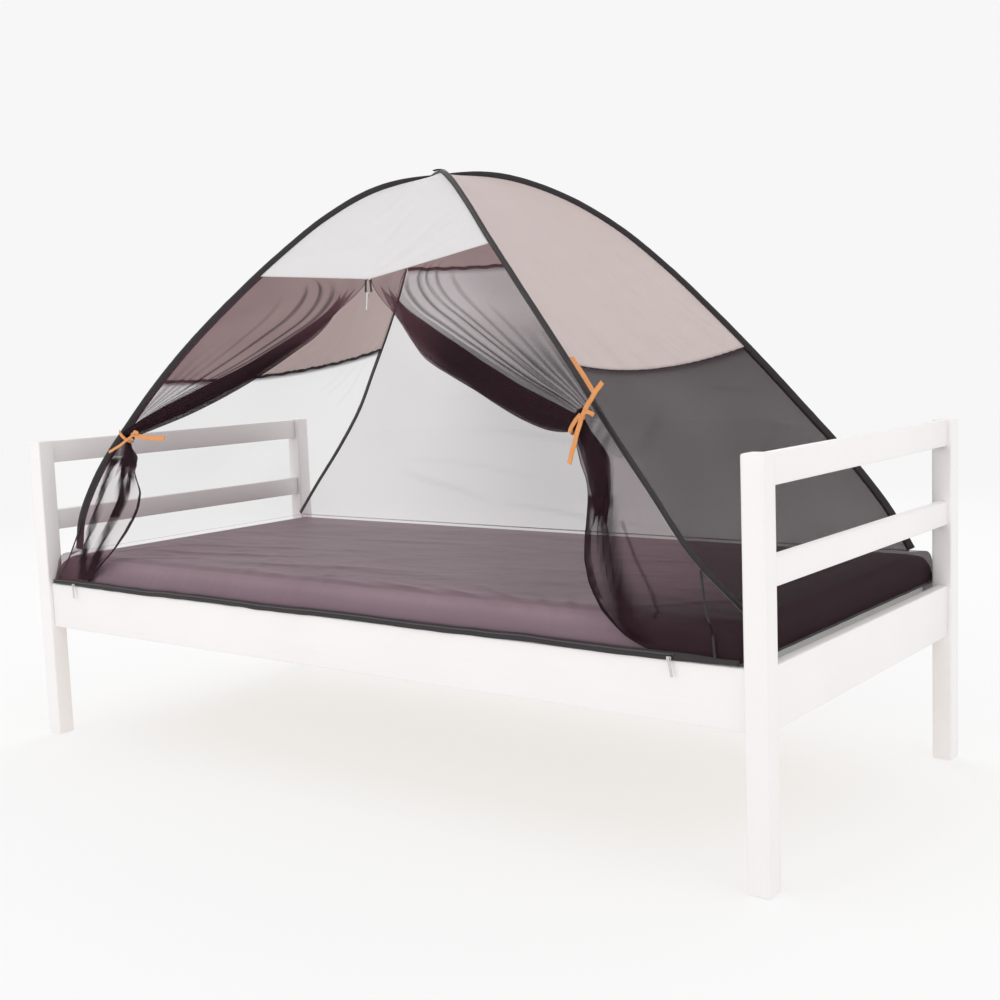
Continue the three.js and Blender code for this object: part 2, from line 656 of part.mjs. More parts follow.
// a flat tape along a path of centre points
function tape(path, faceDir, half, thick) {
  return loft(path.map((p, i) => {
    const a = path[Math.max(0, i - 1)], b = path[Math.min(path.length - 1, i + 1)];
    const tangent = b.clone().sub(a).normalize();
    const normal = faceDir(p, i).clone();
    normal.addScaledVector(tangent, -normal.dot(tangent)).normalize();
    const wide = V(0, 0, 0).crossVectors(tangent, normal);
    const corner = (w, t) => p.clone().addScaledVector(wide, w * half).addScaledVector(normal, t * thick / 2);
    return [corner(-1, -1), corner(1, -1), corner(1, 1), corner(-1, 1)];
  }));
}

function tie(name, leafName, slackX, ry, tails) {
  const { x, y, z, half, wideX, wideZ } = leaves[leafName].bunch;
  const middle = V(x, y - 3.5, z);
  const rx = half + slackX;
  const side = leaves[leafName].side;
  const path = [];
  for (let i = 0; i <= 16; i++) {
    const angle = mix(0.45, 1.8, i / 16) * Math.PI;     // open toward the pole and the tent
    path.push(middle.clone().add(V(-wideX * rx * Math.cos(angle), ry * Math.sin(angle), -wideZ * rx * Math.cos(angle))));
  }
  const loop = tape(path, (p) => p.clone().sub(middle), 4.2, 1.2);
  const knotAt = middle.clone().add(V(wideX * rx * 0.2, -ry - 2.2, wideZ * rx * 0.2));
  const knot = loft([-1, -0.6, 0.6, 1].map((t) => ovalRing(knotAt.clone().add(V(t * 6.5, 0, 0)),
    V(0, 1, 0), V(0, 0, 1), Math.abs(t) > 0.9 ? 2 : 3.6, Math.abs(t) > 0.9 ? 2.6 : 5, 8)));
  const ends = tails.map((tail) => tape(columns(8).map((t) => knotAt.clone().add(
    V(tail.x * t, tail.y * t - 2 * Math.sin(Math.PI * t), tail.z * t + tail.bow * arch(t)))),
  () => V(0, -1, 0.15), tail.half, 1.2));
  addMesh(name, joined([loop, knot, ...ends]), 0xe9a35a);
}
tie("tie_left", "left", 11, 14.6, [
  { x: -78, y: -6, z: -38, bow: 3, half: 2.4 }, { x: 92, y: -8, z: 6, bow: 10, half: 4 },
]);
tie("tie_right", "right", 8.6, 12.8, [
  { x: 46, y: -14, z: 92, bow: 6, half: 3.6 }, { x: -30, y: -12, z: -96, bow: -4, half: 3.8 },
  { x: 20, y: -16, z: 22, bow: 8, half: 3.2 },
]);

const tabGrid = [8.6, 9, 9.4, 9.8, 10.2].map((ring) => [3.4, 12, 20.5].map((out) => {
  const low = Math.floor(ring);
  const spot = (k) => {
    const f = legFrame("frontRight", k);
    const sign = f.aside.x + f.aside.y > 0 ? 1 : -1;
    return f.point.addScaledVector(f.outward, -1.5 - out * 0.12).addScaledVector(f.aside, sign * out);
  };
  return spot(low).lerp(spot(low + 1), ring - low);
}));
addMesh("side_tab", sheet(tabGrid, 1.2), 0xe9a35a);

// a short band of channel binding round the crossing
const wrapBase = hoopPoint("b", 10).add(V(0, 0, crossHalf + 2.2));
const wrapPath = columns(6).map((t) => wrapBase.clone().add(V(mix(-13, 13, t), mix(-5, 5, t), -2.2 * (2 * t - 1) ** 2)));
addMesh("crown_wrap", tape(wrapPath, () => V(0, 0, 1), 8, 1.4), 0x232123);

export default group;
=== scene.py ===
import bmesh
import bpy
import math
from functools import lru_cache
from mathutils import Matrix, Vector, noise


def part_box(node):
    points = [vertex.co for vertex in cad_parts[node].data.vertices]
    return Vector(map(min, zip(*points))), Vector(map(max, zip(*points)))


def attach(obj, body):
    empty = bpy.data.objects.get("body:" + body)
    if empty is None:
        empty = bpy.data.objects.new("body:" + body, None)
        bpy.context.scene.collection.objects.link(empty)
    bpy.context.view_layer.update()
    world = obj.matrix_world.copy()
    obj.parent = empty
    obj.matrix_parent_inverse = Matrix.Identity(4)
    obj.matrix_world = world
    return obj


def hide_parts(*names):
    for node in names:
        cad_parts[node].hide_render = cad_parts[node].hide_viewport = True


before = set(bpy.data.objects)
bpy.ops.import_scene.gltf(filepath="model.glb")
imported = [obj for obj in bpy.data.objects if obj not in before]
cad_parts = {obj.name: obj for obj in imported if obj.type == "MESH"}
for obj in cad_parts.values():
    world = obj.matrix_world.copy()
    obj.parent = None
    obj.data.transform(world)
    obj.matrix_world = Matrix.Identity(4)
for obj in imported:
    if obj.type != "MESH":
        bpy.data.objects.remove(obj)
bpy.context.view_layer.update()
scene = bpy.context.scene
mm = 0.001          # lengths below are in mm, as in the part's source
print("frame loaded,", len(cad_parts), "nodes")


# camera

view = {"place": (2044.7, -2524.9, 957.4), "yaw": 37.331, "pitch": 6.278, "roll": 2.151, "lens": 48.645}


def makeCamera():
    yaw, pitch, roll = (math.radians(view[k]) for k in ("yaw", "pitch", "roll"))
    ahead = Vector((-math.sin(yaw) * math.cos(pitch), math.cos(yaw) * math.cos(pitch), -math.sin(pitch)))
    level = Vector((math.cos(yaw), math.sin(yaw), 0))
    above = level.cross(ahead)
    right = level * math.cos(roll) - above * math.sin(roll)
    up = level * math.sin(roll) + above * math.cos(roll)
    data = bpy.data.cameras.new("camera")
    data.sensor_width = 36
    data.lens = view["lens"]
    data.clip_end = 60
    lens = bpy.data.objects.new("camera", data)
    scene.collection.objects.link(lens)
    lens.matrix_world = Matrix.Translation(Vector(view["place"]) * mm) @ Matrix(
        (right, up, -ahead)).transposed().to_4x4()
    scene.camera = lens


makeCamera()
print("camera set")


# small maths

def mix(a, b, t):
    return a + (b - a) * t


def clamp01(t):
    return min(1.0, max(0.0, t))


def soft(t):
    c = clamp01(t)
    return c * c * (3 - 2 * c)


def bell(x, width):
    return math.exp(-(x * x) / (width * width))


def arch(u):
    return 4 * u * (1 - u)


def along(table, column, at, value, smooth=False):      # a table's column where its column at has this value
    places, wanted = table[at], table[column]
    up = places[-1] > places[0]
    for i in range(len(places) - 1):
        if (value <= places[i + 1]) == up or i == len(places) - 2:
            t = clamp01((value - places[i]) / (places[i + 1] - places[i]))
            if smooth:
                return rounded(wanted, min(i + t, len(wanted) - 1 - 1e-6))
            return mix(wanted[i], wanted[i + 1], t)


def rounded(points, t):                    # a smooth line through points, t from 0 to their last number
    i = int(min(len(points) - 2, max(0, math.floor(t))))
    t -= i
    b, c = points[i], points[i + 1]
    a = points[i - 1] if i else 2 * b - c
    d = points[i + 2] if i + 2 < len(points) else 2 * c - b
    return 0.5 * (2 * b + (c - a) * t + (2 * a - 5 * b + 4 * c - d) * t * t
                  + (3 * b - a - 3 * c + d) * t * t * t)


def wander(x, y=0.0, z=0.0):               # even, repeatable unevenness from -1 to 1
    return noise.noise(Vector((x, y, z)))


def creaseAt(lines, u, h):                 # soft lines from (u0, h0) to (u1, h1) on a face
    total = 0.0
    for u0, h0, u1, h1, width, depth in lines:
        du, dh = u1 - u0, h1 - h0
        t = ((u - u0) * du + (h - h0) * dh) / (du * du + dh * dh)
        if 0 < t < 1:
            off = ((u - u0) * dh - (h - h0) * du) / math.hypot(du, dh)
            off += 0.006 * math.sin(t * 7 + u0 * 9)
            total += depth * bell(off, width) * math.sin(math.pi * t) ** 0.7
    return total


# finishes

class Wire:
    def __init__(self, tree, out):
        self.tree, self.out = tree, out

    def into(self, slot):
        self.tree.links.new(self.out, slot)

    def sum(self, operation, *values):
        node = self.tree.nodes.new("ShaderNodeMath")
        node.operation = operation
        for slot, value in zip(node.inputs, values):
            if isinstance(value, Wire):
                value.into(slot)
            else:
                slot.default_value = value
        return Wire(self.tree, node.outputs[0])

    def __add__(self, other): return self.sum("ADD", self, other)
    def __radd__(self, other): return self.sum("ADD", other, self)
    def __sub__(self, other): return self.sum("SUBTRACT", self, other)
    def __rsub__(self, other): return self.sum("SUBTRACT", other, self)
    def __mul__(self, other): return self.sum("MULTIPLY", self, other)
    def __rmul__(self, other): return self.sum("MULTIPLY", other, self)
    def __pow__(self, other): return self.sum("POWER", self, other)


class Finish:
    def __init__(self, name, **fixed):
        self.material = bpy.data.materials.new(name)
        self.material.use_nodes = True
        self.tree = self.material.node_tree
        self.shader = self.tree.nodes["Principled BSDF"]
        for socket, value in fixed.items():
            self.shader.inputs[socket.replace("_", " ")].default_value = value

    def node(self, kind, settings=None, out=0, **values):
        made = self.tree.nodes.new("ShaderNode" + kind)
        for key, value in (settings or {}).items():
            if key == "stops":
                for n, (place, colour) in enumerate(value):
                    stop = made.color_ramp.elements[n] if n < 2 else made.color_ramp.elements.new(place)
                    stop.position, stop.color = place, (*colour, 1)
            else:
                setattr(made, key, value)
        for key, value in values.items():
            slot = made.inputs[int(key[4:])] if key.startswith("slot") else made.inputs[key.replace("_", " ")]
            if isinstance(value, Wire):
                value.into(slot)
            else:
                slot.default_value = value
        return Wire(self.tree, made.outputs[out])

    def feed(self, socket, wire):
        wire.into(self.shader.inputs[socket])

    def spread(self, size, turn=(0, 0, 0)):          # Object coordinates, stretched along an axis
        place = self.node("TexCoord", out=3)
        return self.node("Mapping", Vector=place, Scale=size, Rotation=turn)

    def tint(self, factor, dark, light):
        return self.node("ValToRGB", {"stops": [(0.0, dark), (1.0, light)]}, Fac=factor)

    def relief(self, height, distance, strength=1.0):
        self.feed("Normal", self.node("Bump", Height=height, Distance=distance, Strength=strength))


def noisy(finish, size, scale, detail=3.0, rough=0.55, turn=(0, 0, 0)):
    return finish.node("TexNoise", Vector=finish.spread(size, turn), Scale=scale, Detail=detail,
                       Roughness=rough)


def paintedWood():
    f = Finish("painted_wood", Roughness=0.42, Coat_Weight=0.12, Coat_Roughness=0.3)
    cloudy = noisy(f, (1, 1, 1), 4.0, 2.0)
    grain = noisy(f, (1.2, 30, 30), 3.0, 4.0, 0.6)
    f.feed("Base Color", f.tint(cloudy * 0.7 + grain * 0.3, (0.85, 0.82, 0.815), (0.93, 0.905, 0.90)))
    f.feed("Roughness", 0.36 + grain * 0.16)
    f.relief(grain, 0.0006, 0.5)
    return f.material


def bareWood():
    f = Finish("bare_wood", Roughness=0.6)
    grain = noisy(f, (1.5, 28, 20), 2.4, 5.0, 0.62)
    f.feed("Base Color", f.tint(grain, (0.55, 0.42, 0.28), (0.80, 0.70, 0.54)))
    f.relief(grain, 0.0008, 0.5)
    return f.material


def wovenCover():
    f = Finish("mattress_cover", Roughness=0.9, Sheen_Weight=0.2)
    weave = noisy(f, (1, 1, 1), 420.0, 2.0)
    f.feed("Base Color", f.tint(weave, (0.74, 0.73, 0.70), (0.88, 0.87, 0.85)))
    f.relief(weave, 0.0006, 0.6)
    return f.material


def floorFabric():
    f = Finish("floor_fabric", Sheen_Weight=0.15, Sheen_Roughness=0.4, Sheen_Tint=(1.0, 0.84, 0.9, 1),
               Specular_IOR_Level=0.25)
    threads = noisy(f, (1, 3.2, 1), 260.0, 2.0)
    rumple = noisy(f, (1, 2.2, 1), 9.0, 3.0, 0.5, (0, 0, 0.25))
    cloudy = noisy(f, (1, 1, 1), 2.5, 2.0)
    height = f.node("SeparateXYZ", out=2, Vector=f.spread((1, 1, 1)))
    fall = f.node("MapRange", Value=height, From_Min=0.4735, From_Max=0.464, To_Min=0.0, To_Max=0.6)
    fall = fall - f.node("MapRange", Value=height, From_Min=0.455, From_Max=0.42, To_Min=0.0, To_Max=0.38)
    # painted highlight and shade: the roll over the front edge is painted paler than the top, as if lit from
    # the front, and the fall below it is painted darker again
    ramp = {"stops": [(0.0, (0.108, 0.062, 0.079)), (0.4, (0.185, 0.116, 0.142)),
                      (0.62, (0.205, 0.138, 0.165)), (1.0, (0.33, 0.225, 0.265))]}
    f.feed("Base Color", f.node("ValToRGB", ramp, Fac=threads * 0.14 + cloudy * 0.26 + fall))
    f.feed("Roughness", 0.46 + threads * 0.12)
    f.relief(rumple * 0.9 + threads * 0.08, 0.0045, 0.55)
    return f.material


def roofFabric(name, dark, light, through=0.46):    # through: share of light passed on by the cloth
    f = Finish(name, Roughness=0.62, Specular_IOR_Level=0.25)
    threads = noisy(f, (1, 1, 1), 330.0, 2.0)
    rumple = noisy(f, (1, 1, 1.6), 12.0, 3.0, 0.5)
    f.feed("Base Color", f.tint(threads * 0.3 + rumple * 0.7, dark, light))
    f.relief(rumple + threads * 0.05, 0.002, 0.4)
    middle = tuple(mix(a, b, 0.5) for a, b in zip(dark, light))
    glow = f.node("BsdfTranslucent", Color=(*middle, 1))
    both = f.node("MixShader", slot0=through, slot1=Wire(f.tree, f.shader.outputs[0]), slot2=glow)
    both.into(f.tree.nodes["Material Output"].inputs["Surface"])
    return f.material


def fineNet():
    f = Finish("fine_net", Roughness=0.85, Specular_IOR_Level=0.15)
    cover = f.node("Attribute", {"attribute_name": "cover"}, out=2)
    # painted light and shade: the base colour is painted a lighter purple where the mesh lies single, for
    # backlight through the threads, and near black where it lies dense, for the shade inside the layers
    f.feed("Base Color", f.tint(cover * 2.5 - 0.75, (0.20, 0.085, 0.11), (0.026, 0.010, 0.015)))
    mottle = noisy(f, (1, 1, 1), 90.0, 2.0)
    sheer = 1 - (1 - cover) ** 0.5                   # two faces of one sheet
    f.feed("Alpha", sheer * (0.97 + mottle * 0.06))
    threads = noisy(f, (1, 1, 1), 500.0, 1.0)
    f.relief(threads, 0.0004, 0.4)
    return f.material


def channelBlack():
    f = Finish("channel_black", Roughness=0.5, Sheen_Weight=0.08, Specular_IOR_Level=0.35)
    twill = f.node("TexWave", {"bands_direction": "DIAGONAL"}, Vector=f.spread((1, 1, 1)), Scale=120.0,
                   Distortion=1.5, Detail=1.0)
    worn = noisy(f, (1, 1, 1), 22.0, 4.0, 0.65)
    f.feed("Base Color", f.tint(worn * 0.8 + twill * 0.2, (0.005, 0.004, 0.005), (0.040, 0.032, 0.036)))
    f.feed("Roughness", 0.4 + worn * 0.3)
    f.relief(twill * 0.25 + worn * 0.75, 0.0016, 0.6)
    return f.material


def orangeTape():
    f = Finish("orange_tape", Roughness=0.75, Sheen_Weight=0.25)
    ribs = f.node("TexWave", {"bands_direction": "DIAGONAL"}, Vector=f.spread((1, 1, 1)), Scale=190.0,
                  Distortion=0.6)
    worn = noisy(f, (1, 1, 1), 60.0)
    f.feed("Base Color", f.tint(ribs * 0.5 + worn * 0.5, (0.62, 0.20, 0.045), (0.90, 0.40, 0.12)))
    f.relief(ribs, 0.0005, 0.7)
    return f.material


def zipMetal():
    f = Finish("zip_metal", Metallic=0.9)
    worn = noisy(f, (1, 1, 4), 90.0)
    f.feed("Base Color", f.tint(worn, (0.45, 0.43, 0.44), (0.78, 0.76, 0.77)))
    f.feed("Roughness", 0.24 + worn * 0.24)
    return f.material


def zipCoil():
    f = Finish("zip_coil", Roughness=0.45)
    teeth = f.node("TexWave", Vector=f.spread((1, 1, 1)), Scale=105.0)
    f.feed("Base Color", f.tint(teeth, (0.02, 0.02, 0.022), (0.13, 0.12, 0.125)))
    f.relief(teeth, 0.0012, 0.9)
    return f.material


finishes = {
    "painted_wood": paintedWood(), "base_wood": bareWood(), "mattress_cover": wovenCover(),
    "floor_fabric": floorFabric(),
    "roof_white": roofFabric("roof_white", (0.925, 0.92, 0.925), (0.975, 0.97, 0.975)),
    "roof_beige": roofFabric("roof_beige", (0.78, 0.69, 0.672), (0.86, 0.78, 0.765)),
    "net_black": fineNet(), "channel_black": channelBlack(), "orange_tape": orangeTape(),
    "zip_metal": zipMetal(), "zip_coil": zipCoil(),
}
print("finishes made")


# pieces from a bmesh

def finishPiece(name, mesh, finish, replacing=(), smooth=True):
    data = bpy.data.meshes.new(name)
    for face in mesh.faces:
        face.smooth = smooth
    mesh.to_mesh(data)
    mesh.free()
    data.materials.append(finishes[finish])
    piece = bpy.data.objects.new(name, data)
    scene.collection.objects.link(piece)
    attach(piece, "root")
    if replacing:
        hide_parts(*replacing)
    return piece


def cloth(name, across, down, place, finish, thick, replacing=()):
    mesh = bmesh.new()
    mesh.loops.layers.uv.new("UVMap")
    # cover: how densely the mesh lies; the net's finish reads it for alpha and for painted shade, darker
    # where dense
    cover = mesh.verts.layers.float.new("cover")
    bmesh.ops.create_grid(mesh, x_segments=across, y_segments=down, size=0.5, calc_uvs=True)
    for corner in mesh.verts:
        spot, shade = place(clamp01(corner.co.x + 0.5), clamp01(corner.co.y + 0.5))
        corner.co = spot * mm
        corner[cover] = shade
    piece = finishPiece(name, mesh, finish, replacing)
    if thick:
        skin = piece.modifiers.new("thickness", "SOLIDIFY")
        skin.thickness, skin.offset = thick * mm, 0
    return piece


def tube(name, around, lengths, place, finish, replacing=()):
    mesh = bmesh.new()
    bmesh.ops.create_grid(mesh, x_segments=around, y_segments=lengths, size=0.5)
    for corner in mesh.verts:
        corner.co = place((corner.co.x + 0.5) * 2 * math.pi, clamp01(corner.co.y + 0.5)) * mm
    bmesh.ops.remove_doubles(mesh, verts=mesh.verts, dist=2e-6)
    bmesh.ops.holes_fill(mesh, edges=[e for e in mesh.edges if e.is_boundary])
    bmesh.ops.recalc_face_normals(mesh, faces=mesh.faces)
    return finishPiece(name, mesh, finish, replacing)


def ribbon(name, path, faceDir, half, thick, finish, replacing=(), steps=None):
    steps = steps or (len(path) - 1) * 4

    def place(u, v):
        at = v * (len(path) - 1)
        spot = rounded(path, at)
        run = (rounded(path, min(len(path) - 1, at + 0.05)) - rounded(path, max(0, at - 0.05))).normalized()
        out = Vector(faceDir(spot) if callable(faceDir) else faceDir)
        out = (out - run * out.dot(run)).normalized()
        return spot + run.cross(out) * half * (2 * u - 1) + out * 0.35 * arch(u), 1.0
    return cloth(name, 4, steps, place, finish, thick, replacing)


def boxed(low, high, round, segments=3):
    mesh = bmesh.new()
    bmesh.ops.create_cube(mesh, size=1)
    low, high = Vector(low), Vector(high)
    bmesh.ops.scale(mesh, vec=high - low, verts=mesh.verts)
    bmesh.ops.translate(mesh, vec=(low + high) / 2, verts=mesh.verts)
    bmesh.ops.bevel(mesh, geom=mesh.edges[:], offset=round, offset_type="OFFSET", segments=segments,
                    profile=0.5, affect="EDGES", material=-1)
    return mesh


# bed

bed = {"postRound": 4.5, "railRound": 3.0, "baseRound": 1.5, "mattressRound": 36, "tuft": 3.0}


def makeBed():
    for node in sorted(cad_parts):
        if node.startswith(("post_", "side_rail", "end_board", "end_rail")):
            low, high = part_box(node)
            size = bed["postRound"] if node.startswith("post_") else bed["railRound"]
            finishPiece("bed_" + node, boxed(low, high, size * mm), "painted_wood", [node])
    low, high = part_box("bed_base")
    finishPiece("bed_board", boxed(low, high, bed["baseRound"] * mm), "base_wood", ["bed_base"])
    low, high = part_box("mattress")
    mesh = boxed(low, high, bed["mattressRound"] * mm, 5)
    flat = [e for e in mesh.edges if e.calc_length() > 0.05]
    bmesh.ops.subdivide_edges(mesh, edges=flat, cuts=15, use_grid_fill=True)
    core = (low + high) / 2
    for corner in mesh.verts:                        # the long sides pull in a little between the corners
        reach = abs(corner.co.x - core.x) / (high.x - core.x)
        corner.co.y = core.y + (corner.co.y - core.y) * (1 - 0.004 * (1 - reach ** 4))
        if corner.co.z > core.z:
            wave = math.cos(corner.co.x * 26) * math.cos(corner.co.y * 26)
            corner.co.z -= bed["tuft"] * mm * (0.5 + 0.5 * wave)
    pad = finishPiece("mattress_pad", mesh, "mattress_cover", ["mattress"])


makeBed()
print("bed made")


# hoops: a table of places on each leg, and the sewn channel round the wire

crownLean = {"apexZ": 1379, "lean": -25, "from": 478}
frontLeg = {"x": [962, 884, 800, 707, 612, 514, 413, 312, 211, 108],
            "y": [405, 440, 437, 414, 381, 341, 292, 237, 172, 95],
            "z": [485, 582, 696, 804, 912, 1013, 1109, 1200, 1285, 1349]}
backLeg = {"x": [962, 900, 806, 707, 613, 516, 419, 322, 219, 111],
           "y": [400, 421, 432, 423, 395, 361, 317, 255, 177, 86],
           "z": [485, 576, 688, 800, 915, 1029, 1140, 1241, 1320, 1369]}
legs = {"frontLeft": ("a", 0, 4.05, 6.55), "frontRight": ("b", 0, 4.2, 6.85),
        "backLeft": ("b", 20, 4.55, 6.5), "backRight": ("a", 20, 4.3, 6.5)}    # hoop, end, seams at steps
channel = {"rings": 24, "endSeam": 10, "sideSeam": 16, "half": 9.5, "thick": 3.0, "crossHalf": 4.0,
           "crossLift": 4.4, "edgeInset": 5.0, "edgeAside": 3.7}


def legPlaces(table, sx, sy):
    lean = crownLean["lean"] / (crownLean["apexZ"] - crownLean["from"])
    return [Vector((sx * x + lean * (z - crownLean["from"]), sy * y, z)) for x, y, z in
            zip(table["x"], table["y"], table["z"])]


crown = Vector((crownLean["lean"], 0, crownLean["apexZ"]))
hoops = {"a": legPlaces(frontLeg, -1, -1) + [crown] + legPlaces(backLeg, 1, 1)[::-1],
         "b": legPlaces(frontLeg, 1, -1) + [crown] + legPlaces(backLeg, -1, 1)[::-1]}


def hoopPoint(key, step):
    lift = channel["crossLift"] * bell(step - 10, 0.9) * (-1 if key == "a" else 1)
    return rounded(hoops[key], step) + Vector((0, 0, lift))


@lru_cache(None)
def legFrame(leg, ring):
    hoop, end, endStep, sideStep = legs[leg]
    low, mid, top = channel["endSeam"], channel["sideSeam"], channel["rings"]
    if ring <= low:
        step = mix(0, endStep, ring / low)
    elif ring <= mid:
        step = mix(endStep, sideStep, (ring - low) / (mid - low))
    else:
        step = mix(sideStep, 10, (ring - mid) / (top - mid))
    step = step if end == 0 else 20 - step
    point = hoopPoint(hoop, step)
    tangent = (hoopPoint(hoop, min(20, step + 0.05)) - hoopPoint(hoop, max(0, step - 0.05))).normalized()
    outward = point - Vector((0, 0, 560))
    outward = (outward - tangent * outward.dot(tangent)).normalized()
    return point, tangent, outward, tangent.cross(outward), mix(
        channel["half"], channel["crossHalf"], bell(step - 10, 0.55))


def makeChannels():
    top = channel["rings"]
    for key, first, second in (("a", "frontLeft", "backRight"), ("b", "frontRight", "backLeft")):
        def place(angle, t):
            ring = t * 2 * top
            leg = first if ring <= top else second
            near = ring if ring <= top else 2 * top - ring
            point, tangent, outward, aside, half = legFrame(leg, round(near, 4))
            c, s = math.cos(angle), math.sin(angle)
            wide = math.copysign(abs(c) ** 0.75, c)
            flat = math.copysign(abs(s) ** 0.75, s)
            pucker = 0.55 * wander(ring * 2.6, wide * 1.4, s) + 0.35 * wander(ring * 7, wide * 2.5, s)
            body = channel["thick"] * (1.12 if wide > 0.1 else 0.62)      # wire outside, flat seam inside
            body = mix(body, channel["thick"] * 0.9, bell(wide, 0.3))
            return (point + outward * (half * wide + 0.6 * pucker)
                    + aside * (flat * body + 0.5 * pucker * flat))
        tube("channel_" + key, 14, 340, place, "channel_black", ["hoop_sleeve_" + key])


makeChannels()

# the short binding over the crossing
wrapBase = hoopPoint("b", 10) + Vector((0, 0, channel["crossHalf"] + 2.2))
wrapPath = [wrapBase + Vector((mix(-13, 13, t / 6), mix(-5, 5, t / 6), -2.2 * (t / 3 - 1) ** 2))
            for t in range(7)]
ribbon("crown_binding", wrapPath, (0, 0, 1), 8, 1.6, "channel_black", ["crown_wrap"])
print("hoops made")


# cloth faces between the hoops

faces = {"front": {"left": "frontLeft", "right": "frontRight", "inward": (0, 1, 0), "seam": 16,
                   "sag": 5, "drop": 40},
         "back": {"left": "backRight", "right": "backLeft", "inward": (0, -1, 0), "seam": 16,
                  "sag": 18, "drop": 14},
         "left": {"left": "backLeft", "right": "frontLeft", "inward": (1, 0, 0), "seam": 10,
                  "sag": 26, "drop": 22},
         "right": {"left": "frontRight", "right": "backRight", "inward": (-1, 0, 0), "seam": 10,
                   "sag": 26, "drop": 30}}
cut = {"crownEnd": 23.5, "footZ": 479, "roofThick": 0.7, "netThick": 0.5, "floorThick": 0.8}
skirt = {"endX": [976, 986, 990.5, 991.2, 991.6], "sideY": [424, 440, 450.5, 458, 467.5],
         "z": [478, 475, 461, 434, 408.2]}


@lru_cache(None)
def edgePoint(leg, ring, toward):
    point, tangent, outward, aside, half = legFrame(leg, ring)
    sign = 1 if aside.dot(Vector(toward)) > 0 else -1
    return (point - outward * channel["edgeInset"] * half / channel["half"]
            + aside * sign * channel["edgeAside"])


@lru_cache(None)
def faceEdges(name, ring):
    face = faces[name]
    across = Vector((1, 0, 0)) if name in ("front", "back") else Vector((0, 1, 0))
    way = (legFrame(face["right"], 8)[0] - legFrame(face["left"], 8)[0]).dot(across)
    across *= 1 if way > 0 else -1
    return edgePoint(face["left"], ring, tuple(across)), edgePoint(face["right"], ring, tuple(-across))


def facePoint(name, ring, u):
    face, top = faces[name], channel["rings"]
    a, b = faceEdges(name, ring)
    p = a.lerp(b, u)
    p += Vector(face["inward"]) * face["sag"] * math.sin(math.pi * clamp01(ring / top)) ** 0.8 * arch(u)
    peak = 1 - abs(2 * u - 1) if name == "front" else arch(u)
    reach = 4.5 if ring > face["seam"] else 3.5
    fade = soft((top - ring) / 5) * soft((ring + 1) / 4)
    p.z -= face["drop"] * peak * bell(ring - face["seam"], reach) * fade
    return p


def skirtPoint(name, row, u):
    rows = {k: rounded(v, row) for k, v in skirt.items()}
    isEnd = name in ("left", "right")
    out = rows["endX"] if isEnd else rows["sideY"]
    reach = (rows["sideY"] if isEnd else rows["endX"]) - 1.3
    swing = mix(-reach, reach, u)
    return Vector({"right": (out, swing, rows["z"]), "left": (-out, -swing, rows["z"]),
                   "front": (swing, -out, rows["z"]), "back": (-swing, out, rows["z"])}[name])


def broadWave(u, ring):
    fade = min(1, arch(u) * 2.2)
    return fade * (math.sin(u * 9.4 + ring * 0.35) * 0.6 + math.sin(u * 5.1 - ring * 0.6 + 1.3) * 0.4)


# creases of the upper panels: from (u, h) to (u, h), half width, depth in mm; h is 0 at the seam
roofCreases = {
    "front": [(0.46, 0.02, 0.98, 0.42, 0.022, 2.6), (0.52, 0.0, 0.99, 0.30, 0.016, -2.0),
              (0.60, 0.0, 1.0, 0.22, 0.014, 1.8), (0.40, 0.10, 0.72, 0.62, 0.03, 1.6),
              (0.05, 0.12, 0.42, 0.22, 0.03, -1.5), (0.30, 0.30, 0.60, 0.78, 0.025, -1.6)],
    "right": [(0.10, 0.0, 0.02, 0.30, 0.012, 1.5), (0.62, 0.0, 0.30, 0.42, 0.02, 2.6),
              (0.74, 0.0, 0.44, 0.46, 0.018, 2.4), (0.86, 0.02, 0.60, 0.50, 0.018, 2.6),
              (0.50, 0.0, 0.18, 0.34, 0.018, -2.0), (0.95, 0.10, 0.80, 0.52, 0.016, 2.0)],
    "left": [(0.20, 0.0, 0.34, 0.40, 0.02, 2.0), (0.55, 0.0, 0.62, 0.36, 0.02, -1.8),
             (0.80, 0.0, 0.72, 0.30, 0.018, 2.0)],
    "back": [(0.04, 0.22, 0.50, 0.02, 0.022, 2.0), (0.96, 0.24, 0.52, 0.02, 0.022, -2.0),
             (0.40, 0.08, 0.52, 0.60, 0.03, 1.6)],
}
roofPuckers = {"front": 0.0, "right": 3.6, "left": 2.4, "back": 1.0}


def makeRoofs():
    top = channel["rings"]
    for name, face in faces.items():
        seam, inward = face["seam"], Vector(face["inward"])

        def place(u, v):
            ring = round(mix(seam, cut["crownEnd"], v), 5)
            h = (ring - seam) / (top - seam)
            p = facePoint(name, ring, u)
            edge = soft((cut["crownEnd"] - ring) / 4)
            depth = 2.5 * broadWave(u, ring) * edge * soft((ring - seam) / 2)
            pinch = min(1, arch(u) * 5)
            depth += 1.7 * creaseAt(roofCreases[name], u, h) * pinch
            lean = u + 0.5 * h
            pleat = math.sin(2 * math.pi * (24 * lean + 1.5 * wander(lean * 9, 3)))
            pleat += 0.4 * math.sin(lean * 301)
            depth += roofPuckers[name] * pleat * bell(h, 0.16 + 0.10 * wander(lean * 11, 7)) * 0.6 * pinch
            depth += 0.8 * wander(p.x * 0.02, p.y * 0.02, p.z * 0.02) * pinch * edge
            return p + inward * depth, 1.0
        finish = "roof_white" if name == "front" else "roof_beige"
        tall = 90 if name in ("left", "right") else 64
        panel = cloth("panel_" + name, 170, tall, place, finish, cut["roofThick"], ["roof_" + name])


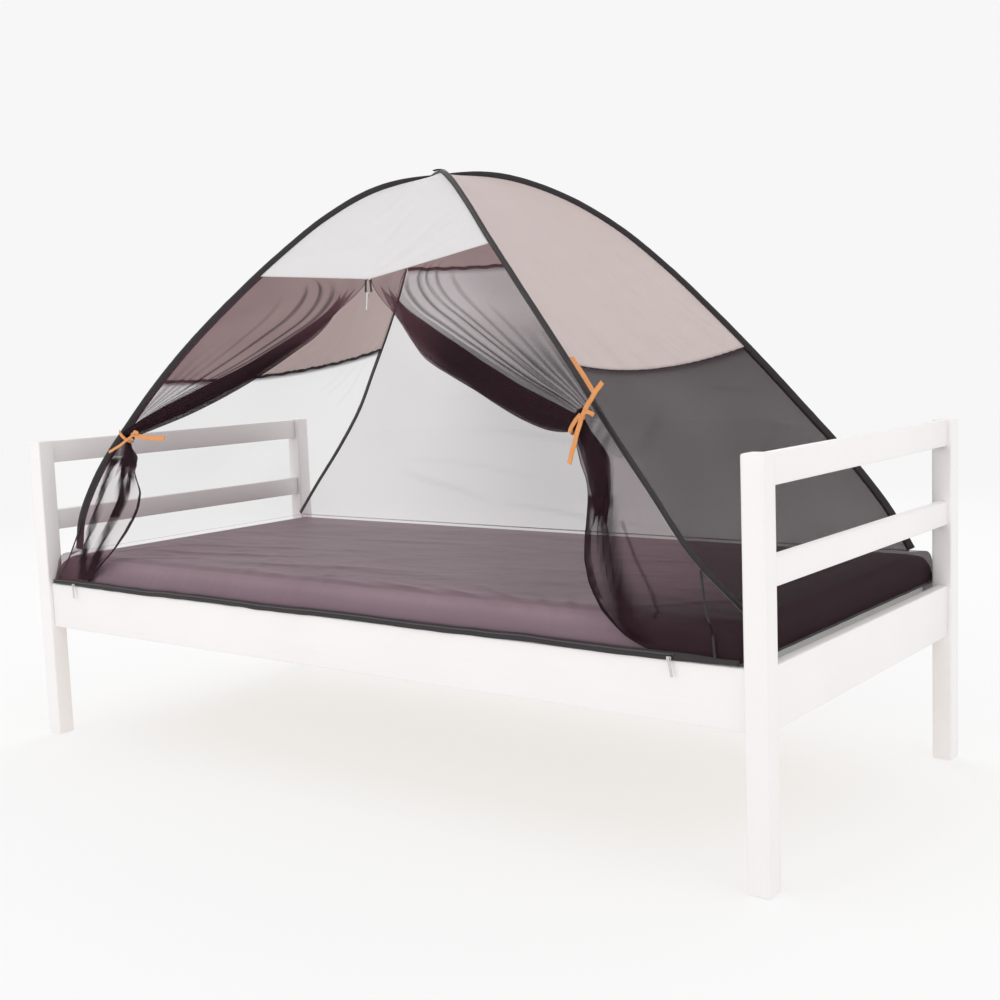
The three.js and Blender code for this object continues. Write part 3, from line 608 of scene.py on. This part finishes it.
# creases of the mesh walls: h is 1 at the seam and 0 at the mattress; a crease also darkens the mesh
netLook = {"back": {"cover": 0.26, "dip": 0.03, "rise": 0.18},
           "left": {"cover": 0.14, "dip": 0.03, "rise": 0.0},
           "right": {"cover": 0.81, "dip": 0.03, "rise": 0.0}}
netCreases = {
    "back": [(0.30, 0.02, 0.62, 0.10, 0.010, 2.4), (0.62, 0.10, 0.84, 0.22, 0.010, 2.6),
             (0.28, 0.30, 0.70, 0.36, 0.012, 1.6), (0.40, 0.50, 0.80, 0.46, 0.012, 1.3),
             (0.30, 0.64, 0.66, 0.74, 0.012, 1.2), (0.52, 0.20, 0.86, 0.26, 0.008, 1.4)],
    "left": [(0.10, 0.98, 0.24, 0.78, 0.010, 1.8), (0.17, 0.98, 0.28, 0.82, 0.008, 1.6),
             (0.06, 0.97, 0.14, 0.70, 0.010, 1.8), (0.30, 0.50, 0.60, 0.62, 0.016, 1.0)],
    "right": [(0.05, 0.60, 0.40, 0.86, 0.012, 1.8), (0.30, 0.35, 0.86, 0.66, 0.012, 1.6),
              (0.55, 0.90, 0.96, 0.80, 0.010, 2.0), (0.60, 0.72, 0.98, 0.60, 0.010, 1.8),
              (0.20, 0.20, 0.55, 0.34, 0.014, 1.5)],
}


def makeNets():
    for name, look in netLook.items():
        face = faces[name]
        seam, inward = face["seam"], Vector(face["inward"])
        rows = len(skirt["z"])

        def place(u, v):
            down = v * (seam + 1 + rows)
            ring = round(seam - down, 5)
            if ring >= 0:
                p = facePoint(name, ring, u)
            elif ring >= -1:
                foot = facePoint(name, 0.0, u)
                p = foot.lerp(Vector((foot.x, foot.y, cut["footZ"])), -ring)
            elif ring >= -2:
                foot = facePoint(name, 0.0, u)
                foot.z = cut["footZ"]
                p = foot.lerp(skirtPoint(name, 0, u), -ring - 1)
            else:
                p = skirtPoint(name, min(rows - 1, -ring - 2), u)
            h = ring / seam
            free = soft((seam - ring) / 3) * soft(ring / 3)
            crease = creaseAt(netCreases[name], u, h)
            depth = 4 * broadWave(u, ring) * free + crease * free
            gather = math.sin(u * 173 + 2 * wander(u * 15, 1)) * bell(h - 1, 0.07)
            depth += 1.2 * gather * min(1, arch(u) * 6) * soft((seam - ring) / 0.8)
            if ring < 0:
                depth += 0.5 * wander(u * 60, ring * 0.6) * soft(-ring - 1)
            shade = look["cover"] + look["dip"] * wander(p.x * 0.004, p.y * 0.004, p.z * 0.006)
            shade += look["rise"] * soft((0.85 - u) / 0.35) + 0.02 * abs(crease) + 0.05 * abs(gather)
            shade = mix(shade, 0.97, soft((ring - seam + 0.35) / 0.3))           # the hem under the seam tape
            return p + inward * depth, min(0.99, shade)
        piece = cloth("mesh_wall_" + name, 156, 100, place, "net_black", cut["netThick"], ["net_" + name])


makeRoofs()
makeNets()
print("faces made")


# door leaves, gathered into a roll and tied

leaves = {
    "left": {"leg": "frontLeft", "side": -1, "tie": 7, "bunch": (-694, -432, 786, 14, 0.8, -0.6),
             "roll": {"part": [0, 0.12, 0.3, 0.5, 0.72, 0.9, 1],
                      "x": [-37, -60, -175, -340, -500, -635, -690],
                      "y": [-263, -268, -295, -332, -370, -405, -426],
                      "low": [1121, 1068, 1000, 911, 842, 797, 787],
                      "high": [1126, 1100, 1036, 956, 893, 838, 797]},
             "fall": {"z": [786, 750, 727, 700, 680, 655, 640, 602, 552, 513, 474, 444, 408.2],
                      "core": [-716, -724, -738, -757, -770, -790, -801, -830, -862, -893, -920, -938, -950],
                      "edge": [-684, -630, -630, -645, -638, -624, -625, -640, -680, -719, -764, -803, -845],
                      "y": [-430, -434, -436, -439, -441, -444, -445, -448, -453, -459, -465, -468.5, -470]},
             "turns": [0.0, 1.0, 0.10, 0.84, 0.05, 0.78, 0.12, 0.62],
             "fallTurns": [0.0, 0.62, 0.10, 1.0, 0.30, 0.84, 0.45, 0.97],
             "gatherEnd": 706, "fallCover": 0.18,
             "strands": [
                 {"z": [720, 682, 652, 615, 581, 545, 505, 468, 420], "half": 17, "dark": 0.80,
                  "x": [-655, -670, -685, -708, -736, -763, -786, -808, -840]},
                 {"z": [730, 701, 652, 614, 585], "half": 14, "dark": 0.80,
                  "x": [-698, -701, -708, -716, -732]},
                 {"z": [730, 705, 664, 624, 593, 547, 509, 470, 420], "half": 14, "dark": 0.80,
                  "x": [-742, -761, -780, -800, -812, -832, -848, -857, -866]}],
             "creases": [(0.50, 0.02, 0.10, 0.15, 0.60), (0.70, 0.016, 0.30, 0.08, 0.80),
                         (0.86, 0.014, 0.34, 0.04, 0.92), (0.95, 0.018, 0.30, 0.10, 0.95)]},
    "right": {"leg": "frontRight", "side": 1, "tie": 8, "bunch": (642, -436, 820, 17, -0.62, -0.78),
              "roll": {"part": [0, 0.12, 0.3, 0.5, 0.72, 0.9, 1],
                       "x": [-27, 15, 165, 320, 475, 595, 645],
                       "y": [-263, -274, -308, -346, -382, -414, -430],
                       "low": [1121, 1052, 950, 885, 822, 797, 816],
                       "high": [1126, 1100, 1040, 968, 898, 856, 838]},
              "fall": {"z": [828, 790, 749, 715, 677, 640, 603, 566, 530, 500, 473, 450, 435, 422, 408.2],
                       "core": [672, 706, 718, 718, 719, 721, 725, 730, 735, 738, 746, 762, 790, 830, 880],
                       "edge": [640, 644, 651, 665, 670, 668, 664, 665, 674, 690, 708, 732, 752, 780, 820],
                       "y": [-434, -436.5, -439.5, -442, -444.5, -447, -450.5, -454, -457, -460.5, -464,
                             -467, -468, -469, -470]},
              "turns": [0.0, 1.0, 0.25, 0.90, 0.10, 0.72, 0.06, 0.50],
              "fallTurns": [0.0, 0.85, 0.08, 0.95, 0.20, 0.70, 0.15, 1.0],
              "gatherEnd": 660, "webGatherEnd": 752, "fallCover": 0.54,
              "strands": [
                  {"z": [690, 642, 569, 516, 463, 429], "half": 19, "dark": 0.42,
                   "x": [698, 703, 718, 737, 756, 783]},
                  {"z": [690, 640, 566, 500], "half": 7, "dark": 0.4, "x": [680, 674, 672, 696]},
                  {"z": [643, 573, 520, 470], "half": 3, "dark": 0.25, "x": [738, 769, 796, 812]}],
              "creases": [(0.34, 0.02, 0.10, 0.30, 0.85), (0.50, 0.016, 0.16, 0.10, 0.80),
                          (0.62, 0.014, 0.24, 0.05, 0.90), (0.73, 0.012, 0.28, 0.04, 0.95),
                          (0.83, 0.014, 0.30, 0.02, 0.95), (0.93, 0.016, 0.30, 0.10, 0.95)]},
}
leafLook = {"cover": 0.42, "rollCover": 0.75, "topCover": 0.36, "gatherCover": 0.72, "creaseDark": 1.5,
            "web": 0.22, "depth": 18, "bunchDepth": 15, "bunchHalf": 1.25, "tape": 0.016, "tapeWide": 8}


def foldedTo(turns, q):                    # height in the roll of the cloth at q, folding back and forth
    at = q * (len(turns) - 1)
    i = int(min(len(turns) - 2, math.floor(at)))
    return mix(turns[i], turns[i + 1], 0.5 - 0.5 * math.cos(math.pi * (at - i)))


def bunchPoint(leaf, part, layer):
    x, y, z, half, wideX, wideZ = leaf["bunch"]
    swing = mix(-half, half, part) * leafLook["bunchHalf"]
    bulge = math.sqrt(max(0.0, 1 - (2 * layer - 1) ** 2 * 0.75))
    return Vector((x + swing * wideX * bulge, y + 4 - leafLook["bunchDepth"] * layer,
                   z + swing * wideZ * bulge))


def leafPlace(name):
    leaf = leaves[name]
    side, seam, tieRing = leaf["side"], faces["front"]["seam"], leaf["tie"]
    toward = (-side, 0, 0)
    upper, lower = seam - tieRing, tieRing + 1 + len(skirt["z"])
    lastFall = leaf["fall"]["z"][-1]

    def seamPoint(u):                                # u 0 at the pole, 1 at the zip
        u *= 0.986
        return facePoint("front", seam, u / 2 if side < 0 else 1 - u / 2)

    @lru_cache(None)
    def above(row):
        part = row / upper
        spots = {k: along(leaf["roll"], k, "part", part, True) for k in ("x", "y", "low", "high")}
        return part, edgePoint(leaf["leg"], round(seam - row, 5), toward), spots

    @lru_cache(None)
    def below(row):
        ring = round(tieRing - row, 5)
        pole = edgePoint(leaf["leg"], max(0.0, ring), toward).copy()
        if ring < 0:
            foot = Vector((pole.x, pole.y, cut["footZ"]))
            pole = pole.lerp(foot, -ring) if ring >= -1 else foot
            u = 0 if side < 0 else 1
            if ring < -1:
                pole = foot.lerp(skirtPoint("front", 0, u), -ring - 1) if ring > -2 else skirtPoint(
                    "front", min(len(skirt["z"]) - 1, -ring - 2), u)
        return pole, {k: along(leaf["fall"], k, "z", pole.z, True) for k in ("core", "edge", "y")}

    def place(u, v):
        row = round(v * (upper + lower), 5)
        inWeb = u < leafLook["web"]
        w = u / leafLook["web"]
        q = (u - leafLook["web"]) / (1 - leafLook["web"])
        roll = mix(leafLook["topCover"], leafLook["rollCover"], soft(row / upper * 1.8))
        shade = (leafLook["cover"] if inWeb else roll) + 0.05 * wander(u * 9, v * 14)
        uneven = 0.05 * wander(v * 22, q * 6)
        if row <= upper:
            part, pole, at = above(row)
            settle = soft(part * 3.2)
            tied = soft((part - 0.8) / 0.2)
            s = clamp01(foldedTo(leaf["turns"], clamp01(q)) + uneven * arch(clamp01(q)))
            if inWeb:
                high = seamPoint(0.6).lerp(Vector((at["x"], at["y"], at["high"])), settle)
                high = high.lerp(bunchPoint(leaf, 0, 0), tied)
                p = pole.lerp(high, w).lerp(seamPoint(0.6 * w), 1 - soft(part * 9))
                for centre, width, dark, start, stop in leaf["creases"]:
                    line = bell(w - centre - 0.015 * math.sin(part * 6 + centre * 20), width)
                    line *= soft((part - start) * 8) * soft((stop - part) * 8)
                    shade += leafLook["creaseDark"] * dark * line
                    p.y -= 3.0 * line * math.sin(math.pi * w)
                p.y -= 1.5 * math.sin(w * 21 + part * 3) * math.sin(math.pi * w) * soft(part * 4)
                shade += 0.16 * soft((part - 0.35) * 2.5) * (side > 0)
                fine = 0.5 + 0.5 * math.sin(w * 40 + 2 * wander(w * 5, part))
                shade += 0.28 * soft((part - 0.45) * 2.5) * fine
            else:
                rest = Vector((at["x"], at["y"], mix(at["high"], at["low"], s)))
                flat = seamPoint(mix(0.6, 1, q))
                p = flat.lerp(rest, settle)
                depth = mix(2, leafLook["depth"], soft(part * 2.5)) * mix(1, 0.8, soft((part - 0.8) * 5))
                p.y -= depth * soft(part * 4) * (q * 0.8 + 0.2 * math.sin(math.pi * s))
                p = p.lerp(bunchPoint(leaf, s, q), tied)
        else:
            down = row - upper
            pole, at = below(down)
            z = pole.z
            height = clamp01((z - lastFall) / 120)
            opened = soft((leaf["gatherEnd"] + 50 - z) / 100)
            s = mix(foldedTo(leaf["fallTurns"], clamp01(q)) + uneven * arch(clamp01(q)), q, opened)
            shade = mix(shade, leaf["fallCover"], soft((leaf["bunch"][2] - z) / 40))
            shade += 0.22 * soft((560 - z) / 120) * (side > 0)
            if inWeb:
                p = pole.lerp(Vector((at["core"], at["y"], z)), w)
                p.y -= 3 * math.sin(math.pi * w) * height
                p = p.lerp(pole.lerp(bunchPoint(leaf, 0, 0) + Vector((0, 0, z - leaf["bunch"][2])), w),
                           1 - soft(down / 2))
            else:
                p = Vector((mix(at["core"], at["edge"], s), at["y"], z))
                ripple = 0.5 + 0.5 * math.sin(q * 31 + down * 0.9)
                p.y -= mix(1.2, 16, height) * (q * 0.6 + 0.4 * ripple * opened)
                p = p.lerp(bunchPoint(leaf, s, q) + Vector((0, 0, z - leaf["bunch"][2])), 1 - soft(down / 2))
            gathered = soft((z - leaf["gatherEnd"] + 6 * wander(p.x * 0.05)) / 14)
            if inWeb and "webGatherEnd" in leaf:
                gathered = soft((z - leaf["webGatherEnd"]) / 10)
            shade = mix(shade, leafLook["gatherCover"] + 0.2 * wander(p.x * 0.12, z * 0.01), gathered)
            for strand in leaf["strands"]:
                if strand["z"][0] > z > strand["z"][-1]:
                    line = bell(p.x - along(strand, "x", "z", z), strand["half"])
                    shade += strand["dark"] * line * (0.85 + 0.3 * wander(p.x * 0.2, z * 0.01))
                    p.y -= 5 * line * height * (0.5 + 0.5 * math.sin(p.x * 0.9))
            shade += 0.35 * soft((515 - z) / 40) * (side < 0)
            if not inWeb and opened > 0.2 and abs(at["edge"] - p.x) < leafLook["tapeWide"]:
                shade = 0.97
        if q > 1 - leafLook["tape"]:                     # the zip's tape along the free edge
            shade = 0.99
        return p, min(0.99, shade)
    return place


def makeLeaves():
    for name in leaves:
        piece = cloth("door_mesh_" + name, 210, 162, leafPlace(name), "net_black", cut["netThick"],
                      ["door_leaf_" + name])


makeLeaves()
print("door leaves made")


# floor cloth

floorFall = {"end": [Vector((930, 471)), Vector((952, 471)), Vector((969, 466)), Vector((980, 456)),
                     Vector((987, 438)), Vector((990.1, 408.2))],
             "side": [Vector((384, 471)), Vector((408, 471)), Vector((427, 465.5)), Vector((441, 455)),
                      Vector((452, 438)), Vector((466, 408.2))],
             "lift": 3.2, "flatShare": {"end": 0.92, "side": 0.78}}
# rumples: x, y to x, y in mm, half width, height
floorRumples = [
    (560, -470, 300, -330, 11, 3.0), (600, -470, 400, -300, 9, 2.6), (500, -470, 180, -360, 10, 2.6),
    (640, -470, 520, -320, 9, 2.4), (420, -470, 60, -380, 10, 2.2), (300, -468, -60, -400, 9, 1.8),
    (-880, -300, -300, -200, 16, 3.0), (-860, -180, -200, -60, 18, 2.6), (-700, 60, 100, 150, 20, 2.4),
    (-500, -350, 100, -250, 16, 2.4), (100, -150, 700, -60, 18, 2.4), (300, 60, 860, 160, 16, 2.2),
    (-820, -440, -560, -300, 12, 2.4), (-940, -420, -820, -180, 12, 2.6), (700, -420, 930, -200, 12, 2.4),
    (-300, -440, -420, -200, 14, 1.8), (-40, -450, -160, -260, 12, 1.8), (640, -250, 900, -330, 14, 2.4),
]


def makeFloorCloth():

    def run(kind, t):
        table, share = floorFall[kind], floorFall["flatShare"][kind]
        t = 2 * t - 1
        if abs(t) <= share:
            return Vector((t / share * table[0].x, table[0].y))
        p = rounded(table, (abs(t) - share) / (1 - share) * (len(table) - 1))
        return Vector((math.copysign(p.x, t), p.y))

    runs = lru_cache(None)(run)

    def place(u, v):
        endRow, sideRow = runs("end", u), runs("side", v)
        x, y, z = endRow.x, sideRow.x, min(endRow.y, sideRow.y)
        fade = soft((930 - abs(x)) / 150) * soft((390 - abs(y)) / 90)
        wave = math.sin(x * 0.0105 + y * 0.006) + math.sin(y * 0.017 - x * 0.004 + 1)
        top = soft((z - 440) / 20)
        near = soft((985 - abs(x)) / 25)
        inside = top * soft((940 - abs(x)) / 60) * soft((-y + 400) / 60)
        rise = 0.0
        for x0, y0, x1, y1, width, height in floorRumples:
            dx, dy = x1 - x0, y1 - y0
            t = ((x - x0) * dx + (y - y0) * dy) / (dx * dx + dy * dy)
            if 0 < t < 1:
                off = ((x - x0) * dy - (y - y0) * dx) / math.hypot(dx, dy)
                rise += height * bell(off + 6 * wander(t * 4, x0), width) * math.sin(math.pi * t) ** 0.6
        rise += 2.2 * wander(x * 0.006, y * 0.016) + 1.0 * wander(x * 0.02, y * 0.045, 3)
        z += floorFall["lift"] * fade * (0.5 + wave * 0.25) + max(-0.8, rise) * inside
        if abs(sideRow.y) < 468 and y < 0:                # the fall over the front edge
            hang = soft((470 - sideRow.y) / 20) * soft((sideRow.y - 406) / 20) * near
            y -= (4.0 * wander(x * 0.012, sideRow.y * 0.008) + 2.6 * wander(x * 0.045, sideRow.y * 0.02, 5)
                  + 2.0) * hang
        return Vector((x, y, z)), 1.0
    piece = cloth("floor_sheet", 280, 150, place, "floor_fabric", cut["floorThick"], ["floor_cloth"])


makeFloorCloth()
print("floor cloth made")


# seam tapes, hem piping and the bottom zip

hem = {"x": 990, "y": 466, "z": 405.1, "radius": 3.2, "round": 16, "bandZ": 409, "bandEnd": 984,
       "tape": [(-473.0, 416.0), (-475.0, 409.0), (-476.6, 401.0)], "seamHalf": 4.2}


def makeSeams():
    for name, face in faces.items():
        if name == "front":
            continue
        inward = Vector(face["inward"])
        path = []
        for k in range(41):
            u = mix(0.004, 0.996, k / 40)
            p = facePoint(name, float(face["seam"]), u)
            sway = 1.5 * math.sin(k * 1.7) + 1.2 * wander(k * 0.6, 5)
            path.append(p + inward * 2.2 + Vector((0, 0, sway)))
        half, finish = (2.0, "roof_beige") if name == "right" else (hem["seamHalf"], "channel_black")
        ribbon("seam_tape_" + name, path, inward, half, 0.8, finish, steps=160)


def hemPath():
    x, y, r = hem["x"], hem["y"], hem["round"]
    path = [Vector((-x, mix(-y + 6, y - r, k / 20), 0)) for k in range(20)]
    path += [Vector((-x + r - r * math.cos(a), y - r + r * math.sin(a), 0)) for a in (0, 0.52, 1.05)]
    path += [Vector((mix(-x + r, x - r, k / 40), y, 0)) for k in range(40)]
    path += [Vector((x - r + r * math.sin(a), y - r + r * math.cos(a), 0)) for a in (0, 0.52, 1.05)]
    path += [Vector((x, mix(y - r, -y + 6, k / 20), 0)) for k in range(21)]
    return path


def makeHem():
    path = hemPath()

    def place(angle, t):
        at = t * (len(path) - 1)
        spot = rounded(path, at)
        run = (rounded(path, min(len(path) - 1, at + 0.05)) - rounded(path, max(0, at - 0.05))).normalized()
        out = Vector((run.y, -run.x, 0))
        size = hem["radius"] * (1 + 0.10 * wander(at * 1.9))
        lift = 1.2 + 0.5 * wander(at * 0.7, 2)
        rise = Vector((0, 0, hem["z"] + lift + size * math.sin(angle)))
        return spot + rise + out * size * 0.8 * math.cos(angle)
    tube("hem_cord", 10, 380, place, "channel_black", ["hem_piping"])

    def sway(v):
        return 1.6 * math.sin(v * 27) + 2.6 * wander(v * 24, 4)

    def band(u, v):                        # the lower tape of the bottom zip, over the rail's edge
        x = mix(-hem["bandEnd"], hem["bandEnd"], v)
        y, z = rounded([Vector(p) for p in hem["tape"]], u * 2)
        narrow = 1 - 0.35 * soft(abs(2 * v - 1.02) * 9 - 7.6) - 0.15 * wander(v * 40, 9)
        z = hem["bandZ"] + (z - hem["bandZ"]) * narrow + sway(v) * 0.7
        return Vector((x, y - 0.4 * math.sin(v * 60), z)), 1.0
    cloth("bottom_zip_tape", 6, 360, band, "channel_black", 0.9, ["door_zip_band"])

    def coil(angle, t):
        x = mix(-hem["bandEnd"], hem["bandEnd"] - 130, t)
        lift = sway(t * (1 - 65 / hem["bandEnd"])) * 0.7
        return Vector((x, -475.9 - 1.5 * math.cos(angle), 411.5 + lift + 1.8 * math.sin(angle)))
    tube("bottom_zip_coil", 8, 260, coil, "zip_coil")


makeSeams()
makeHem()

# the seam that closes each front corner, from the channel down to the hem


def makeCornerSeams():
    rows = {"right": [(892, -437, 560), (905, -446, 497), (924, -457, 452), (934, -470.6, 424),
                      (938, -474.6, 413)],
            "left": [(-900, -437, 560), (-928, -448, 497), (-948, -458, 452), (-962, -470.6, 424),
                     (-966, -474.6, 413)]}
    for name, places in rows.items():
        ribbon("corner_seam_" + name, [Vector(p) for p in places], (0, -1, 0.1), 2.4, 0.7, "channel_black")


makeCornerSeams()
print("seams made")


# zip sliders with their pulls

def makeSlider(name, centre, drop, lean, node):
    x, y, z = centre
    mesh = boxed(Vector((x - 5, y - 3.6, z - 3.4)) * mm, Vector((x + 5, y + 0.6, z + 3.4)) * mm, 1.2 * mm)
    # the pull: a plate with a round top, its corners rounded
    plate = bmesh.ops.create_cube(mesh, size=1)["verts"]
    bmesh.ops.scale(mesh, verts=plate, vec=Vector((5.0, 1.5, drop)) * mm)
    bmesh.ops.translate(mesh, verts=plate, vec=Vector((0, -0.75, -drop / 2)) * mm)
    rim = [e for e in mesh.edges if e.verts[0] in plate and e.verts[1] in plate]
    made = bmesh.ops.bevel(mesh, geom=rim, offset=0.6 * mm, offset_type="OFFSET", segments=2, profile=0.5,
                           affect="EDGES", material=-1)
    pull = list({v for f in made["faces"] for v in f.verts} | {v for v in plate if v.is_valid})
    swing = Matrix.Rotation(math.atan2(-lean, drop), 3, "Y")
    bmesh.ops.rotate(mesh, verts=pull, cent=(0, 0, 0), matrix=swing)
    bmesh.ops.translate(mesh, verts=pull, vec=Vector((x, y - 4.0, z + 2.2)) * mm)
    return finishPiece(name, mesh, "zip_metal", [node], smooth=False)


zipTop = facePoint("front", 16.0, 0.5)
makeSlider("slider_left", (-893, -477.9, 405.0), 36, 3, "zip_slider_left")
makeSlider("slider_right", (848, -477.9, 405.0), 36, 7, "zip_slider_right")
makeSlider("slider_top", tuple(zipTop + Vector((0, -4.6, -32.7))), 38, -4, "zip_slider_top")
for sideName, sx, ahead in (("left", -1, 6), ("right", 1, 3.5)):
    tapePath = [zipTop + Vector((sx * mix(5.5, 7.4, t / 3), -ahead, mix(-2, -29, t / 3))) for t in range(4)]
    ribbon("middle_zip_" + sideName, tapePath, (0, -1, 0), 2.6, 0.8, "channel_black",
           ["top_zip_tape_" + sideName], steps=12)
print("zips made")


# ties and the sewn tab

ties = {
    "left": {"slackX": 11, "depth": 14.6, "knot": (-648, -451, 790),
             "tails": [(-94, -5, -44, -4, 3.4), (124, -6, -7, -4, 5.6), (24, -5, 2, 5, 4.4)]},
    "right": {"slackX": 8.6, "depth": 12.8, "knot": (660, -453, 831),
              "tails": [(51, -5, 64, 2, 5.0), (-28, -4, -86, -3, 5.0), (30, -5, 4, 8, 3.8)]},
}


def makeTie(name):
    x, y, z, half, wideX, wideZ = leaves[name]["bunch"]
    tie = ties[name]
    middle = Vector((x, y - 3.5, z))
    rx, ry = half + tie["slackX"], tie["depth"]
    path = []
    for i in range(17):
        angle = mix(0.45, 1.8, i / 16) * math.pi
        across = -rx * math.cos(angle)
        path.append(middle + Vector((wideX * across, ry * math.sin(angle), wideZ * across)))
    ribbon("tie_loop_" + name, path, lambda p: p - middle, 4.2, 1.0, "orange_tape", ["tie_" + name], 64)
    knotAt = Vector(tie["knot"])
    mesh = bmesh.new()
    bmesh.ops.create_icosphere(mesh, subdivisions=4, radius=1)
    for corner in mesh.verts:
        d = corner.co.copy()
        fold = 1 + 0.14 * math.sin(d.x * 7 + d.z * 5) + 0.08 * math.sin(d.z * 13)
        corner.co = (knotAt + Vector((d.x * 8.0, d.y * 3.8, d.z * 5.0)) * fold) * mm
    finishPiece("tie_knot_" + name, mesh, "orange_tape")
    for n, (tx, ty, tz, bow, wide) in enumerate(tie["tails"]):
        places = []
        for t in range(9):
            flutter = 0.9 * math.sin(t * 1.9) - 2 * math.sin(math.pi * t / 8)
            places.append(knotAt + Vector((tx * t / 8, ty * t / 8 + flutter, tz * t / 8 + bow * arch(t / 8))))
        ribbon(f"tie_end_{name}_{n + 1}", places, (0, -1, 0.15), wide, 0.9, "orange_tape", steps=40)


for sideName in ties:
    makeTie(sideName)


def tabPlace(u, v):
    ring = round(mix(8.6, 10.2, v), 5)
    point, tangent, outward, aside, half = legFrame("frontRight", ring)
    sign = 1 if aside.x + aside.y > 0 else -1
    out = mix(3.4, 20.5, u)
    return point - outward * (1.5 + out * 0.12 + 0.5 * math.sin(v * 9)) + aside * sign * out, 1.0


cloth("sewn_tab", 14, 36, tabPlace, "orange_tape", 1.0, ["side_tab"])
print("ties made")


# floor, light and air

studio = {"ground": 0.35, "glow": 0.60, "air": 1.0, "key": 25.0, "fill": 14.0, "behind": 34.0}


def makeStudio():
    mesh = bmesh.new()
    bmesh.ops.create_circle(mesh, cap_ends=True, segments=96, radius=14)
    data = bpy.data.meshes.new("ground")
    mesh.to_mesh(data)
    mesh.free()
    ground = bpy.data.objects.new("ground", data)
    scene.collection.objects.link(ground)
    f = Finish("ground", Base_Color=(studio["ground"],) * 3 + (1,), Roughness=1.0, Specular_IOR_Level=0.0,
               Emission_Color=(1, 1, 1, 1), Emission_Strength=studio["glow"])
    data.materials.append(f.material)
    world = bpy.data.worlds.new("air")
    world.use_nodes = True
    air = world.node_tree.nodes["Background"]
    air.inputs["Color"].default_value = (0.93, 0.93, 0.93, 1)
    air.inputs["Strength"].default_value = studio["air"]
    scene.world = world
    for name, place, aim, size, power in (
            ("key", (-1.2, -4.2, 2.1), (0.1, 0, 0.8), 2.6, studio["key"]),
            ("fill", (3.6, -1.0, 2.6), (0, 0, 0.7), 2.4, studio["fill"]),
            ("behind", (-2.2, 3.2, 3.2), (0, 0.2, 1.0), 2.6, studio["behind"])):
        light = bpy.data.lights.new(name, "AREA")
        light.size, light.energy = size, power
        lamp = bpy.data.objects.new(name, light)
        scene.collection.objects.link(lamp)
        lamp.location = place
        lamp.rotation_mode = "QUATERNION"
        lamp.rotation_quaternion = (Vector(aim) - Vector(place)).to_track_quat("-Z", "Y")
    scene.view_settings.view_transform = "Standard"
    scene.cycles.transparent_max_bounces = 48


makeStudio()
print("studio made")
